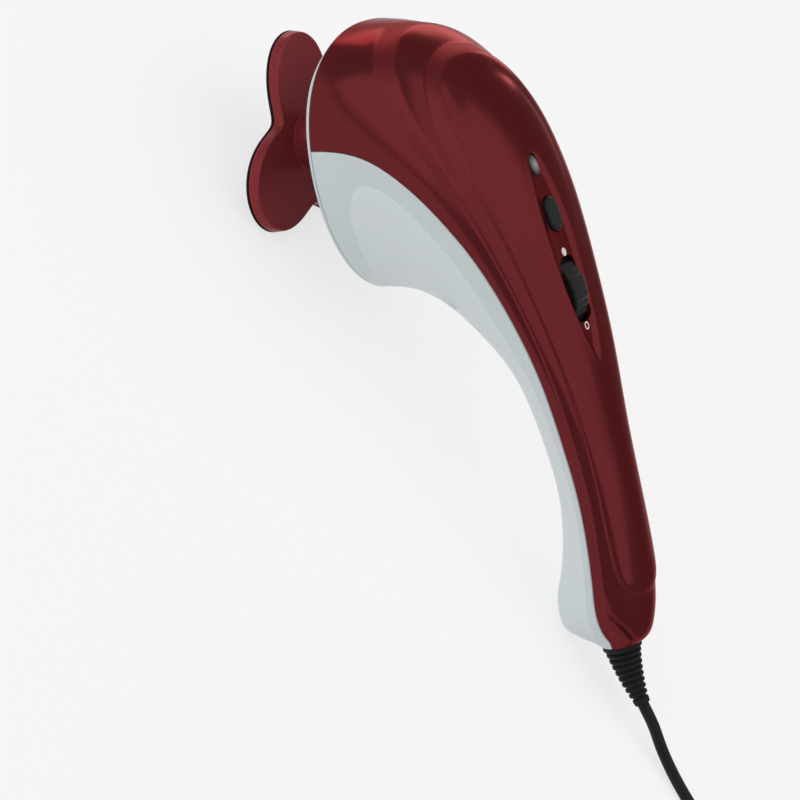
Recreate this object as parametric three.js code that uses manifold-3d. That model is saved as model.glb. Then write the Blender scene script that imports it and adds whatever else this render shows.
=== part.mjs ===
// A handheld hot and cold massager: an arched two-shell body with a reciprocating post at the head, a
// three-lobed massage head on it, a heat button, a speed wheel, and a lead that is put away in a coil.
// Millimetres, +Z up. The body lies along X, tail towards +X, resting on two lobes and on its tail.
import * as THREE from "three";
import { mergeVertices } from "three/addons/utils/BufferGeometryUtils.js";
import Module from "manifold-3d";

const wasm = await Module();
wasm.setup();

// Clearances that the whole assembly shares
const gap = 0.3;
const overrun = 6;
const weldTolerance = 0.001;

// Body shells
const bodyLength = 310;
const bodyHeight = 124;
const headWidth = 115;
const wall = 2.5;
const crownPower = 2.24;
const keelPower = 1.92;
const ringsPerStation = 2;
const arcSteps = 10;
const halvings = 50;

// Places along the body from the head's rim to the tail: x and z of the top profile, x and z of the belly
// profile, the seam's place on the way from top to belly, and the width.
const stationShares = [
  [0.0, 0.714, 0.338, 0.18, 0.406, 0.995],
  [0.035, 0.819, 0.344, 0.21, 0.399, 1.001],
  [0.098, 0.931, 0.352, 0.246, 0.389, 0.974],
  [0.182, 0.994, 0.363, 0.282, 0.384, 0.925],
  [0.257, 0.998, 0.377, 0.323, 0.374, 0.877],
  [0.326, 0.97, 0.397, 0.363, 0.353, 0.828],
  [0.386, 0.931, 0.423, 0.402, 0.333, 0.775],
  [0.494, 0.844, 0.485, 0.448, 0.321, 0.658],
  [0.6, 0.756, 0.56, 0.466, 0.379, 0.536],
  [0.705, 0.654, 0.66, 0.402, 0.453, 0.424],
  [0.808, 0.547, 0.757, 0.297, 0.463, 0.379],
  [0.901, 0.435, 0.841, 0.127, 0.405, 0.386],
  [0.933, 0.385, 0.869, 0.052, 0.38, 0.37],
  [0.957, 0.347, 0.9, 0.005, 0.374, 0.328],
  [0.975, 0.313, 0.918, 0.003, 0.385, 0.262],
  [0.987, 0.276, 0.94, 0.044, 0.419, 0.205],
  [0.99, 0.238, 0.963, 0.087, 0.5, 0.172],
];
const lastStation = stationShares.length - 1;

// Face of the head: trim ring, domed cover and the rubber seal round the post
const ringProud = 2;
const ringEdgeDrop = 0.6;
const lipDepth = 5;
const lipWall = 1.6;
const lipTaper = 1;
const coverWall = 2.2;
const coverEdge = 0.6;
const coverRise = 13.4;
const coverSteps = 4;
const sealRadius = 18.5;
const sealThickness = 2;
const sealWaves = 3;
const sealWaveHeight = 1.4;
const sealSleeveHeight = 4.5;
const sealSleeveWall = 1.8;

// Reciprocating post; heights are along the post axis from the plane of the head's rim
const postOffsetShare = 0.0557;
const stroke = 4;
const shaftRadius = 6;
const shaftTop = 29;
const postRadius = 10.5;
const postBottom = 18.5;
const postTop = 35;
const pinRadius = 1.2;
const pinSpacing = 10;
const pinLength = 4.6;
const pinProud = 0.8;
const ringCordRadius = 1;
const ringSeatHeight = 30;

// Drive under the face
const chassisThickness = 3;
const chassisInset = 4.2;
const sleeveRadius = 12;
const sleeveLength = 14;
const bushRadius = 9;
const bushLength = 6;
const motorRadius = 19;
const motorLength = 40;
const motorDepth = 42;
const motorStart = 10;
const motorBossRadius = 6;
const motorBossLength = 1.2;
const motorBoreDepth = 8;
const endcapLength = 5.7;
const endcapNoseShare = 0.8;
const endcapShoulderShare = 0.6;
const motorShaftRadius = 2.5;
const motorShaftReach = 8;
const crankOffset = 2;
const camRadius = 5.2;
const camLength = 8;
const bearingRadius = 8;
const bearingWidth = 6;
const yokeBorder = 4;
const yokeThickness = 6;
const yokeClearance = 0.4;
const yokeBlockHeight = 8;
const yokeBlockWall = 1.2;
const yokeSocketDepth = 5;
const saddleWidth = 6;
const saddleTabReach = 7.5;
const saddleOffsets = [3, 24];
const strapThickness = 1.5;

// Fasteners
const screwShank = 1.5;
const screwHead = 3;
const screwHeadHeight = 2.2;
const screwClearance = 0.3;
const bossRadius = 5.5;
const screwWell = 9;
const screwGrip = 8;
const smallScrewLength = 9;
const chassisBossDepth = 14;
const chassisBossInset = 8.5;
const chassisBossRadius = 4;
const chassisBossAngleShares = [0.26, 0.74, 1.3, 1.7];
const chassisScrewLength = 11;
const screwSides = 8;

// Controls on the spine; places are shares of the body's length, from the head's edge
const recessPlaceShare = 0.4523;
const recessLength = 96.4;
const recessWidth = 22;
const recessDepth = 1.2;
const recessOutlineShares = [
  [0, 0.36],
  [0.06, 0.59],
  [0.156, 0.82],
  [0.31, 1],
  [0.52, 1],
  [0.67, 0.86],
  [0.83, 0.68],
  [0.93, 0.45],
  [1, 0],
];
const lensPlaceShare = 0.321;
const lensLength = 10.2;
const lensWidth = 6.2;
const lensDepth = 4;
const buttonPlaceShare = 0.3935;
const buttonLength = 16.2;
const buttonWidth = 11;
const buttonProud = 1.8;
const buttonFlangeReach = 1.2;
const buttonFlangeThickness = 1.5;
const buttonStemRadius = 1.7;
const buttonTravel = 1.2;
const wheelPlaceShare = 0.5013;
const wheelRadius = 21;
const wheelThickness = 12.4;
const wheelProud = 1.8;
const wheelTeeth = 32;
const toothDepth = 0.5;
const wheelSlotLength = 29.5;
const wheelSlotWidth = 13.6;
const wheelSlotCorner = 3.5;
const axleRadius = 2;
const cheekThickness = 2;
const cheekGap = 0.6;
const cheekOverhang = 5;
const cheekWidth = 12;
const meterSize = 13;
const meterThickness = 6;

// Control board under the button
const boardPlaceShare = 0.3677;
const boardLength = 41;
const boardWidth = 26;
const boardThickness = 1.6;
const boardDepth = 10;
const boardBossRadius = 3;
const boardBossPlaces = [
  [-6, 9.5],
  [17.5, -9.5],
];
const switchSize = 8;
const switchHeight = 3.2;
const ledRadius = 1.5;

// Housing screws: share of the way along the stations, and share of the half width from the middle
const housingScrewPlaceShares = [
  [0.375, 0.6],
  [0.375, -0.6],
  [0.5125, 0],
  [0.65, 0],
];

// Massage head on the post
const socketWall = 2.6;
const socketBottom = 21;
const plateHeight = 39.4;
const plateThickness = 5.3;
const plateFlare = 0.5;
const plateEdgeRound = 0.6;
const lobeMeanRadius = 39.3;
const lobeSwing = 12.8;
const lobeBluntness = 1;
const lobeDrop = 2.3;
const webFill = 2.3;
const lobeCount = 3;
const lobeSteps = 60;
const padOverhang = 0.7;
const padRim = 0.8;
const padDome = 6;
const padSteps = 4;

// Tail: bend relief, lead and the clamp that holds it
const collarRadius = 9.3;
const collarLength = 4;
const neckRadius = 6.9;
const neckLength = 4.4;
const flangeRadius = 8.8;
const flangeLength = 2.5;
const reliefLength = 31;
const reliefTurn = THREE.MathUtils.degToRad(15.5);
const ribCount = 9;
const ribRadius = 8.3;
const ribGroove = 1.2;
const ribShare = 0.56;
const reliefTipRadius = 4;
const reliefSides = 10;
const cordRadius = 2.8;
const cordSides = 8;
const clampLength = 8;
const clampWidth = 24;
const clampThickness = 4.4;
const clampScrewSpacing = 17;
const clampPlaceShare = 0.75;
const clampRise = -1.5;
const motorLeadRadius = 1.5;
const motorLeadDrop = 4.5;
const motorLeadLoop = 4.5;
const boardLanding = 8.4;

// The inner lead on its way past the wheel: share of the way along the stations, and height from the seam
// as a share of the lead's radius
const innerLeadPlaceShares = [
  [0.65, -0.54],
  [0.5625, -1],
  [0.5, -2],
  [0.4375, -5],
  [0.405, -3],
];

// Cord outside the body: the free stretch, hand-chosen as distance from the exit, sideways place and
// height above the floor, then a coil of two layers and a two-blade plug beside it
const cordRun = 11;
const freeStretch = [
  [24, 0, 6.2],
  [36, 0, 4.1],
  [48, 0, 3.1],
  [62, 0, 2.85],
  [76, 0, 2.85],
  [90, 0, 2.85],
];
const coilPlace = [104, -45.6];
const coilPitch = 6.05;
const coilInnerRadius = 21.4;
const coilTurnsIn = 4;
const coilTurnsOut = 3.5;
const coilStepsPerTurn = 24;
const coilSides = 6;
const coilTail = 27;
const plugTailLength = 15;
const plugTailRadius = 4.2;
const plugLength = 24;
const plugWidth = 24;
const plugHeight = 16;
const plugNeckRadius = 5.9;
const plugShoulderShare = 0.62;
const plugEdgeRound = 2;
const plugEdgeInset = 1.2;
const plugCornerPower = 0.6;
const plugSides = 20;
const bladeLength = 17;
const bladeRoot = 5.6;
const bladeWidth = 6.3;
const bladeThickness = 1.5;
const bladeSpacing = 12.7;

// Finishes
const finishes = {
  maroon: { color: 0x68282a, roughness: 0.36, metalness: 0.25 },
  silver: { color: 0xb9c3c6, roughness: 0.45, metalness: 0.2 },
  blackPlastic: { color: 0x1d1e20, roughness: 0.5, metalness: 0 },
  blackRubber: { color: 0x161617, roughness: 0.72, metalness: 0 },
  whiteNylon: { color: 0xe2e0d8, roughness: 0.55, metalness: 0 },
  steel: { color: 0x9da2a6, roughness: 0.32, metalness: 0.95 },
  brass: { color: 0xb5934f, roughness: 0.35, metalness: 0.95 },
  board: { color: 0x1e5a39, roughness: 0.5, metalness: 0 },
  lens: { color: 0x3a3f45, roughness: 0.15, metalness: 0 },
};

// Signed volume of a triangle mesh, positive where its faces point outwards
function signedVolume(positions, index) {
  const [a, b, c] = [new THREE.Vector3(), new THREE.Vector3(), new THREE.Vector3()];
  let volume = 0;
  for (let i = 0; i < index.length; i += 3) {
    a.fromBufferAttribute(positions, index[i]);
    b.fromBufferAttribute(positions, index[i + 1]);
    c.fromBufferAttribute(positions, index[i + 2]);
    volume += a.dot(b.cross(c));
  }
  return volume;
}

// A welded copy with its positions alone and its faces turned outwards
function outward(geometry) {
  const bare = new THREE.BufferGeometry();
  bare.setAttribute("position", geometry.getAttribute("position").clone());
  if (geometry.index) bare.setIndex(geometry.index.clone());
  const welded = mergeVertices(bare, weldTolerance);
  const index = Array.from(welded.index.array);
  if (signedVolume(welded.getAttribute("position"), index) < 0) index.reverse();
  welded.setIndex(index);
  return welded;
}

function solidOf(geometry) {
  const closed = outward(geometry);
  const vertProperties = closed.getAttribute("position").array;
  const triVerts = new Uint32Array(closed.index.array);
  return new wasm.Manifold(new wasm.Mesh({ numProp: 3, vertProperties, triVerts }));
}

function geometryOf(solid) {
  const { vertProperties, triVerts } = solid.getMesh();
  const geometry = new THREE.BufferGeometry();
  geometry.setAttribute("position", new THREE.BufferAttribute(vertProperties, 3));
  geometry.setIndex(new THREE.BufferAttribute(triVerts, 1));
  return geometry;
}

const cut = (geometry, ...cutters) =>
  geometryOf(cutters.reduce((body, cutter) => body.subtract(solidOf(cutter)), solidOf(geometry)));
const join = (geometry, ...others) =>
  geometryOf(others.reduce((body, other) => body.add(solidOf(other)), solidOf(geometry)));
const within = (geometry, limit) => geometryOf(solidOf(geometry).intersect(solidOf(limit)));
const placed = (geometry, frame) => geometry.clone().applyMatrix4(frame);

// A closed solid through rings of equally many points: fanned shut at both ends, or joined into a hoop
function loft(rings, hoop = false) {
  const size = rings[0].length;
  const points = rings.flat();
  const faces = [];
  const spans = hoop ? rings.length : rings.length - 1;
  for (let i = 0; i < spans; i += 1) {
    const near = i * size;
    const far = ((i + 1) % rings.length) * size;
    for (let j = 0; j < size; j += 1) {
      const k = (j + 1) % size;
      faces.push(near + j, near + k, far + k, near + j, far + k, far + j);
    }
  }
  const capped = hoop ? [] : [0, rings.length - 1];
  for (const i of capped) {
    const centre = points.length;
    points.push(rings[i].reduce((sum, p) => sum.add(p), new THREE.Vector3()).divideScalar(size));
    for (let j = 0; j < size; j += 1) {
      const k = (j + 1) % size;
      const [first, second] = i === 0 ? [k, j] : [j, k];
      faces.push(centre, i * size + first, i * size + second);
    }
  }
  const geometry = new THREE.BufferGeometry().setFromPoints(points);
  geometry.setIndex(faces);
  return outward(geometry);
}

// A rod along the local z axis, between two heights
const rod = (radius, from, to, sides = 18) =>
  new THREE.CylinderGeometry(radius, radius, to - from, sides)
    .rotateX(Math.PI / 2)
    .translate(0, 0, (from + to) / 2);
const block = (x, y, z) =>
  new THREE.BoxGeometry(x[1] - x[0], y[1] - y[0], z[1] - z[0]).translate(
    (x[0] + x[1]) / 2,
    (y[0] + y[1]) / 2,
    (z[0] + z[1]) / 2,
  );
const tube = (outer, inner, from, to, sides = 18) =>
  cut(rod(outer, from, to, sides), rod(inner, from - overrun, to + overrun, sides));
const prism = (shape, from, to, curveSegments = 3) =>
  new THREE.ExtrudeGeometry(shape, { depth: to - from, bevelEnabled: false, curveSegments }).translate(
    0,
    0,
    from,
  );
function turned(profile, sides = 20) {
  const points = profile.map(([r, z]) => new THREE.Vector2(r, z));
  return outward(new THREE.LatheGeometry(points, sides).rotateX(Math.PI / 2));
}

// A rectangle lying along x, with round corners or, where none are given, fully round ends
function stadium(length, width, corner = width / 2) {
  const shape = new THREE.Shape();
  const [x, y] = [length / 2 - corner, width / 2 - corner];
  const corners = [[x, -y], [x, y], [-x, y], [-x, -y]];
  corners.forEach(([cx, cy], i) => {
    shape.absarc(cx, cy, corner, ((i - 1) * Math.PI) / 2, (i * Math.PI) / 2);
  });
  return shape;
}

// A pan head screw: its head seats on z = 0 and stands below it, its shank points along +z
const screw = (length) =>
  turned(
    [
      [0, -screwHeadHeight],
      [screwHead, -screwHeadHeight],
      [screwHead, 0],
      [screwShank, 0],
      [screwShank, length],
      [0, length],
    ],
    screwSides,
  );
const screwHole = screwShank + screwClearance;

// Body surface
const topCurve = new THREE.CatmullRomCurve3(
  stationShares.map(([x, z]) => new THREE.Vector3(x * bodyLength, 0, z * bodyHeight)),
);
const bellyCurve = new THREE.CatmullRomCurve3(
  stationShares.map(([, , x, z]) => new THREE.Vector3(x * bodyLength, 0, z * bodyHeight)),
);
const seamCurve = new THREE.CatmullRomCurve3(
  stationShares.map(([, , , , seam, width]) => new THREE.Vector3(seam, width, 0)),
);

function section(share) {
  const top = topCurve.getPoint(share);
  const belly = bellyCurve.getPoint(share);
  const { x: seamShare, y: widthShare } = seamCurve.getPoint(share);
  const up = top.clone().sub(belly);
  const height = up.length();
  up.normalize();
  const seam = top.clone().lerp(belly, seamShare);
  const halfWidth = (widthShare * headWidth) / 2;
  return { up, seam, halfWidth, crown: seamShare * height, keel: (1 - seamShare) * height };
}

// A point of the body's outline at a section; angle 0 is the seam on the +Y side, a quarter turn the top
function hullPoint(place, angle, inset = 0) {
  const over = Math.sin(angle) >= 0;
  const bulge = 2 / (over ? crownPower : keelPower);
  const reach = (over ? place.crown : place.keel) - inset;
  const across = Math.sign(Math.cos(angle)) * Math.abs(Math.cos(angle)) ** bulge;
  const rise = Math.sign(Math.sin(angle)) * Math.abs(Math.sin(angle)) ** bulge;
  return place.seam
    .clone()
    .addScaledVector(place.up, rise * reach)
    .setY(across * (place.halfWidth - inset));
}

const places = [];
for (let i = 0; i <= lastStation * ringsPerStation; i += 1) {
  places.push(section(i / (lastStation * ringsPerStation)));
}
const fullRing = (place, inset) =>
  Array.from({ length: 2 * arcSteps }, (_, i) => hullPoint(place, (i * Math.PI) / arcSteps, inset));

// Frames: the head's (x up the rim, z out of the face), the tail's (z out of the body), and any on the spine
const rim = places[0];
const rimUp = rim.up;
const sideways = new THREE.Vector3(0, 1, 0);
const faceOut = new THREE.Vector3().crossVectors(rimUp, sideways);
const rimHeight = rim.crown + rim.keel;
const rimCentre = rim.seam.clone().addScaledVector(rimUp, (rim.crown - rim.keel) / 2);
const postFoot = rimCentre.clone().addScaledVector(rimUp, postOffsetShare * rimHeight);
const basis = (x, y, z, origin) => new THREE.Matrix4().makeBasis(x, y, z).setPosition(origin);
const headFrame = basis(rimUp, sideways, faceOut, postFoot);

const tail = places[places.length - 1];
const tailOut = new THREE.Vector3(tail.up.z, 0, -tail.up.x);
const tailCentre = tail.seam.clone().addScaledVector(tail.up, (tail.crown - tail.keel) / 2);
const tailFrame = basis(tail.up.clone().negate(), sideways, tailOut, tailCentre);

// A frame on the top profile: x runs towards the tail, z out of the surface
function spineFrame(placeShare) {
  let [low, high] = [0, 1];
  for (let i = 0; i < halvings; i += 1) {
    const middle = (low + high) / 2;
    if (topCurve.getPoint(middle).x < placeShare * bodyLength) low = middle;
    else high = middle;
  }
  const along = topCurve.getTangent(low);
  return basis(along, sideways, new THREE.Vector3(-along.z, 0, along.x), topCurve.getPoint(low));
}

// A frame inside the body at a section: z runs from belly to top, x towards the tail
function insideFrame(share, across, rise) {
  const place = section(share);
  const origin = place.seam.clone().addScaledVector(place.up, rise).setY(across);
  return basis(new THREE.Vector3(place.up.z, 0, -place.up.x), sideways, place.up, origin);
}

// Outer halves, the hollow that both share, and the depth that the recess keeps
function half(top) {
  const turn = top ? 1 : -1;
  const lift = (turn * gap) / 2;
  return loft(
    places.map((place) =>
      Array.from({ length: arcSteps + 1 }, (_, i) =>
        hullPoint(place, (turn * i * Math.PI) / arcSteps).addScaledVector(place.up, lift),
      ),
    ),
  );
}
function hollow(inset, step = 1) {
  const rings = places.filter((_, i) => i % step === 0).map((place) => fullRing(place, inset));
  const before = rings[0].map((p) => p.clone().addScaledVector(faceOut, overrun));
  const after = rings[rings.length - 1].map((p) => p.clone().addScaledVector(tailOut, overrun));
  return loft([before, ...rings, after]);
}
const topHalf = half(true);
const bottomHalf = half(false);
const cavity = hollow(wall, ringsPerStation);
const core = hollow(wall / 2, ringsPerStation);

// Rim outline in the head's frame
const toHead = headFrame.clone().invert();
const rimRing = (inset, height) =>
  fullRing(rim, inset).map((p) => p.applyMatrix4(toHead).setZ(height));

// Fasteners of the shells
function housingScrewAt([placeShare, acrossShare]) {
  const place = section(placeShare);
  const across = acrossShare * place.halfWidth;
  const spread = Math.abs(acrossShare);
  const belly = -place.keel * (1 - spread ** keelPower) ** (1 / keelPower);
  const crown = place.crown * (1 - spread ** crownPower) ** (1 / crownPower);
  return { frame: insideFrame(placeShare, across, 0), belly, crown, seat: belly + screwWell };
}
const housingScrews = housingScrewPlaceShares.map(housingScrewAt);

// Chassis screws stand inside the rim, each at a share of half a turn from the seam
const chassisScrewPlaces = chassisBossAngleShares.map((share) =>
  hullPoint(rim, share * Math.PI, chassisBossInset).applyMatrix4(toHead).setZ(0),
);
const chassisFront = -lipDepth;
const chassisBack = chassisFront - chassisThickness;
const chassisScrewSeat = chassisFront - gap - screwHeadHeight;
const chassisBossFront = chassisBack - gap;

// A boss behind the chassis with a web that runs out into the shell's wall
function chassisBoss(place) {
  const web = block(
    [0, chassisBossInset + overrun],
    [-chassisBossRadius / 2, chassisBossRadius / 2],
    [chassisBossFront - chassisBossDepth, chassisBossFront],
  ).rotateZ(Math.atan2(place.y, place.x));
  const post = rod(chassisBossRadius, chassisBossFront - chassisBossDepth, chassisBossFront, 16);
  return placed(join(post, web), new THREE.Matrix4().setPosition(place).premultiply(headFrame));
}
const chassisBossBore = (place) =>
  placed(
    rod(screwHole, chassisScrewSeat - chassisScrewLength - gap, 0, screwSides),
    new THREE.Matrix4().setPosition(place).premultiply(headFrame),
  );

const lensFrame = spineFrame(lensPlaceShare);
const buttonFrame = spineFrame(buttonPlaceShare);
const wheelFrame = spineFrame(wheelPlaceShare);
const recessFrame = spineFrame(recessPlaceShare);
const boardFrame = spineFrame(boardPlaceShare);
const wheelAxisDepth = wheelRadius - wheelProud;
const cheekInner = wheelThickness / 2 + cheekGap;
const boardTop = -boardDepth;
const boardBottom = boardTop - boardThickness;

function recessCutter() {
  const side = (turn) =>
    recessOutlineShares.map(([x, y]) => [(x - 0.5) * recessLength, (turn * y * recessWidth) / 2]);
  const loop = [...side(1).slice(0, -1), ...side(-1).reverse()];
  const shape = new THREE.Shape(loop.map(([x, y]) => new THREE.Vector2(x, y)));
  const column = placed(prism(shape, -recessWidth, recessWidth), recessFrame);
  return cut(column, hollow(recessDepth));
}

// Cheeks hang from the top shell's inside and carry the wheel's axle
function wheelCheek(turn) {
  const near = turn * cheekInner;
  const far = turn * (cheekInner + cheekThickness);
  const plate = block(
    [-cheekWidth / 2, cheekWidth / 2],
    [Math.min(near, far), Math.max(near, far)],
    [-wheelAxisDepth - cheekOverhang, -wall + gap],
  );
  return placed(cut(plate, axleRod(axleRadius + gap, overrun)), wheelFrame);
}
function axleRod(radius, extra) {
  const from = -cheekInner - cheekThickness - gap - extra;
  const to = cheekInner + cheekThickness + meterThickness + 2 * gap + extra;
  return rod(radius, from, to, 16)
    .rotateX(-Math.PI / 2)
    .translate(0, 0, -wheelAxisDepth);
}

function topShell() {
  const holes = [
    placed(prism(stadium(lensLength + gap, lensWidth + gap), -boardDepth, overrun), lensFrame),
    placed(prism(stadium(buttonLength + 2 * gap, buttonWidth + 2 * gap), -boardDepth, overrun), buttonFrame),
    placed(
      prism(stadium(wheelSlotLength, wheelSlotWidth, wheelSlotCorner), -boardDepth, overrun),
      wheelFrame,
    ),
  ];
  const shell = cut(topHalf, cavity, recessCutter(), ...holes);
  const cheeks = [wheelCheek(1), wheelCheek(-1)];
  const boardBosses = boardBossPlaces.map(([x, y]) =>
    placed(rod(boardBossRadius, boardTop + gap, 0, 14).translate(x, y, 0), boardFrame),
  );
  const frontBosses = chassisScrewPlaces.filter((p) => p.x > seamHeight).map(chassisBoss);
  const pillars = housingScrews.map(({ frame, crown }) =>
    placed(rod(bossRadius, gap / 2, crown, 16), frame),
  );
  const added = [...boardBosses, ...frontBosses, ...pillars].map((boss) => within(boss, core));
  const bores = [
    ...boardBossPlaces.map(([x, y]) =>
      placed(rod(screwHole, boardTop - overrun, -wall - gap, screwSides).translate(x, y, 0), boardFrame),
    ),
    ...chassisScrewPlaces.map(chassisBossBore),
    ...housingScrews.map(({ frame }) =>
      placed(rod(screwHole, -overrun, screwGrip + gap, screwSides), frame),
    ),
  ];
  return cut(join(shell, ...added, ...cheeks), ...bores);
}

function clampFrame() {
  return insideFrame(clampPlaceShare, 0, clampRise);
}
const clampSeat = -gap;

function bottomShell() {
  const pillars = housingScrews.map(({ frame, belly }) =>
    placed(rod(bossRadius, belly, -gap / 2, 16), frame),
  );
  const frontBosses = chassisScrewPlaces.filter((p) => p.x <= seamHeight).map(chassisBoss);
  const clampBlock = placed(
    block(
      [-clampLength / 2, clampLength / 2],
      [-clampWidth / 2, clampWidth / 2],
      [-bodyHeight, clampSeat],
    ),
    clampFrame(),
  );
  const added = [...pillars, ...frontBosses, clampBlock].map((boss) => within(boss, core));
  const wells = housingScrews.flatMap(({ frame, belly, seat }) => [
    placed(rod(screwHead + gap, belly - overrun, seat, 16), frame),
    placed(rod(screwHole, belly, overrun, screwSides), frame),
  ]);
  const leadGroove = placed(
    rod(cordRadius + gap, -clampLength, clampLength, 12).rotateY(Math.PI / 2),
    clampFrame(),
  );
  const clampBores = [-1, 1].map((turn) =>
    placed(
      rod(screwHole, -smallScrewLength, overrun, screwSides).translate(
        0,
        (turn * clampScrewSpacing) / 2,
        0,
      ),
      clampFrame(),
    ),
  );
  return cut(
    join(cut(bottomHalf, cavity), ...added),
    ...wells,
    ...chassisScrewPlaces.map(chassisBossBore),
    leadGroove,
    ...clampBores,
  );
}
const seamHeight = rim.seam.clone().applyMatrix4(toHead).x;

// Trim ring in front of both shells, with a lip inside them
function faceRing() {
  const lipOuter = wall + gap;
  const lipInner = lipOuter + lipWall;
  return loft(
    [
      rimRing(0, gap),
      rimRing(0, ringProud - ringEdgeDrop),
      rimRing(ringEdgeDrop, ringProud),
      rimRing(lipInner, ringProud),
      rimRing(lipInner + lipTaper, -lipDepth + gap),
      rimRing(lipOuter + lipTaper, -lipDepth + gap),
      rimRing(lipOuter, gap),
    ],
    true,
  );
}

// Domed cover from the ring to the seal, blended from the rim's outline to a circle
function faceCover() {
  const skirt = wall + lipWall + lipTaper + 2 * gap;
  const holeRadius = sealRadius + gap;
  const ringAt = (share, inset, height) =>
    rimRing(inset, height).map((p) => {
      const circle = new THREE.Vector3(p.x, p.y, 0).setLength(holeRadius).setZ(height);
      return p.lerp(circle, share);
    });
  const domeAt = (share) => coverEdge + coverRise * Math.sin((share * Math.PI) / 2);
  const shares = Array.from({ length: coverSteps + 1 }, (_, i) => i / coverSteps);
  const outside = shares.map((share) => ringAt(share, skirt, domeAt(share)));
  const inside = shares
    .map((share) => ringAt(share, skirt + coverWall, domeAt(share) - coverWall))
    .reverse();
  const foot = -lipDepth + gap;
  return loft([ringAt(0, skirt, foot), ...outside, ...inside, ringAt(0, skirt + coverWall, foot)], true);
}

// Rubber seal: a waved disc in the cover's hole with a sleeve round the shaft
function postSeal() {
  const top = coverEdge + coverRise;
  const sleeveInner = shaftRadius + gap;
  const sleeveOuter = sleeveInner + sealSleeveWall;
  const steps = 2 * sealWaves;
  const waved = Array.from({ length: steps + 1 }, (_, i) => {
    const radius = sealRadius + ((sleeveOuter - sealRadius) * i) / steps;
    return [radius, top - gap - (i % 2 ? 0 : sealWaveHeight)];
  });
  const profile = [
    ...waved,
    [sleeveOuter, top - gap + sealSleeveHeight - sealWaveHeight],
    [sleeveInner, top - gap + sealSleeveHeight - sealWaveHeight],
    [sleeveInner, top - sealWaveHeight - sealThickness],
    [sealRadius, top - sealWaveHeight - sealThickness],
    waved[0],
  ];
  return turned(profile, 22);
}

const socketRadius = postRadius + gap;
const pinBore = pinRadius + gap;
const pinBottom = postTop + pinProud - pinLength;
const pinPlace = (turn) => (turn * pinSpacing) / 2;

function attachmentPost() {
  const bores = [-1, 1].map((turn) =>
    rod(pinBore, pinBottom - gap, postTop + overrun, 12).translate(0, pinPlace(turn), 0),
  );
  const groove = cut(
    rod(postRadius + overrun, ringSeatHeight - ringCordRadius - gap, ringSeatHeight + ringCordRadius + gap),
    rod(postRadius - 2 * ringCordRadius, ringSeatHeight - overrun, ringSeatHeight + overrun),
  );
  return cut(
    rod(postRadius, postBottom, postTop, 24),
    rod(shaftRadius + gap, postBottom - overrun, shaftTop + gap),
    groove,
    ...bores,
  );
}

// The rubber ring in the post's groove that holds a head by friction
const postRing = () =>
  new THREE.TorusGeometry(postRadius - ringCordRadius + gap / 2, ringCordRadius - gap / 2, 6, 24).translate(
    0,
    0,
    ringSeatHeight,
  );

// Yoke window: wide enough for the cam bearing wherever crank and post stand
const motorAxis = -motorDepth;
const bearingSweep = bearingRadius + crankOffset + yokeClearance;
const windowTop = motorAxis + bearingSweep;
const windowBottom = motorAxis - bearingSweep - stroke;
const shaftBottom = windowTop + yokeBlockHeight - yokeSocketDepth;

function driveYoke() {
  const halfBlock = shaftRadius + gap + yokeBlockWall;
  const halfSpan = bearingSweep + yokeBorder;
  const frame = block(
    [-yokeThickness / 2, yokeThickness / 2],
    [-halfSpan, halfSpan],
    [windowBottom - yokeBorder, windowTop + yokeBorder],
  );
  const windowCut = block(
    [-overrun, overrun],
    [-bearingSweep, bearingSweep],
    [windowBottom, windowTop],
  );
  const blockTop = windowTop + yokeBlockHeight;
  const top = block([-halfBlock, halfBlock], [-halfBlock, halfBlock], [windowTop, blockTop]);
  return cut(
    join(frame, top),
    windowCut,
    rod(shaftRadius + gap, shaftBottom - gap, blockTop + overrun),
  );
}

function guideBush(front) {
  const from = front ? chassisFront - bushLength : chassisFront - sleeveLength;
  return tube(bushRadius, shaftRadius + gap, from, from + bushLength);
}

const saddleSeat = motorAxis + motorRadius - saddleTabReach + gap;
const saddleSpan = motorRadius + strapThickness + saddleTabReach;
const motorFrom = -motorStart - motorLength;
const saddleStart = (offset) => -motorStart - offset - saddleWidth;

function driveChassis() {
  const disc = loft([rimRing(chassisInset, chassisBack), rimRing(chassisInset, chassisFront)]);
  const sleeve = rod(sleeveRadius, chassisFront - sleeveLength, chassisFront, 20);
  const saddles = saddleOffsets.map((offset) =>
    block(
      [saddleStart(offset), saddleStart(offset) + saddleWidth],
      [-saddleSpan, saddleSpan],
      [saddleSeat, chassisBack],
    ),
  );
  const bed = rod(motorRadius + gap, motorFrom - overrun, -motorStart + overrun, 32)
    .rotateY(Math.PI / 2)
    .translate(0, 0, motorAxis);
  const strapBores = strapScrewPlaces.map(([x, y]) =>
    rod(screwHole, saddleSeat - overrun, saddleSeat + smallScrewLength, screwSides).translate(x, y, 0),
  );
  const bores = chassisScrewPlaces.flatMap((p) => [
    rod(screwHole, chassisBack - overrun, 0, screwSides).translate(p.x, p.y, 0),
    rod(screwHead + gap, chassisScrewSeat, 0, 16).translate(p.x, p.y, 0),
  ]);
  return cut(
    join(disc, sleeve, ...saddles),
    rod(bushRadius + gap, chassisFront - sleeveLength - overrun, 0),
    bed,
    ...strapBores,
    ...bores,
  );
}
const strapTabMiddle = motorRadius + strapThickness + gap + saddleTabReach / 2;
const strapScrewPlaces = saddleOffsets.flatMap((offset) =>
  [-1, 1].map((turn) => [saddleStart(offset) + saddleWidth / 2, turn * strapTabMiddle]),
);

function motorCan() {
  const can = rod(motorRadius, motorFrom, -motorStart, 32);
  const boss = rod(motorBossRadius, -motorStart, -motorStart + motorBossLength, 16);
  const bore = rod(motorShaftRadius + gap, -motorStart - motorBoreDepth, overrun, 16);
  return cut(join(can, boss), bore).rotateY(Math.PI / 2).translate(0, 0, motorAxis);
}

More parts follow.
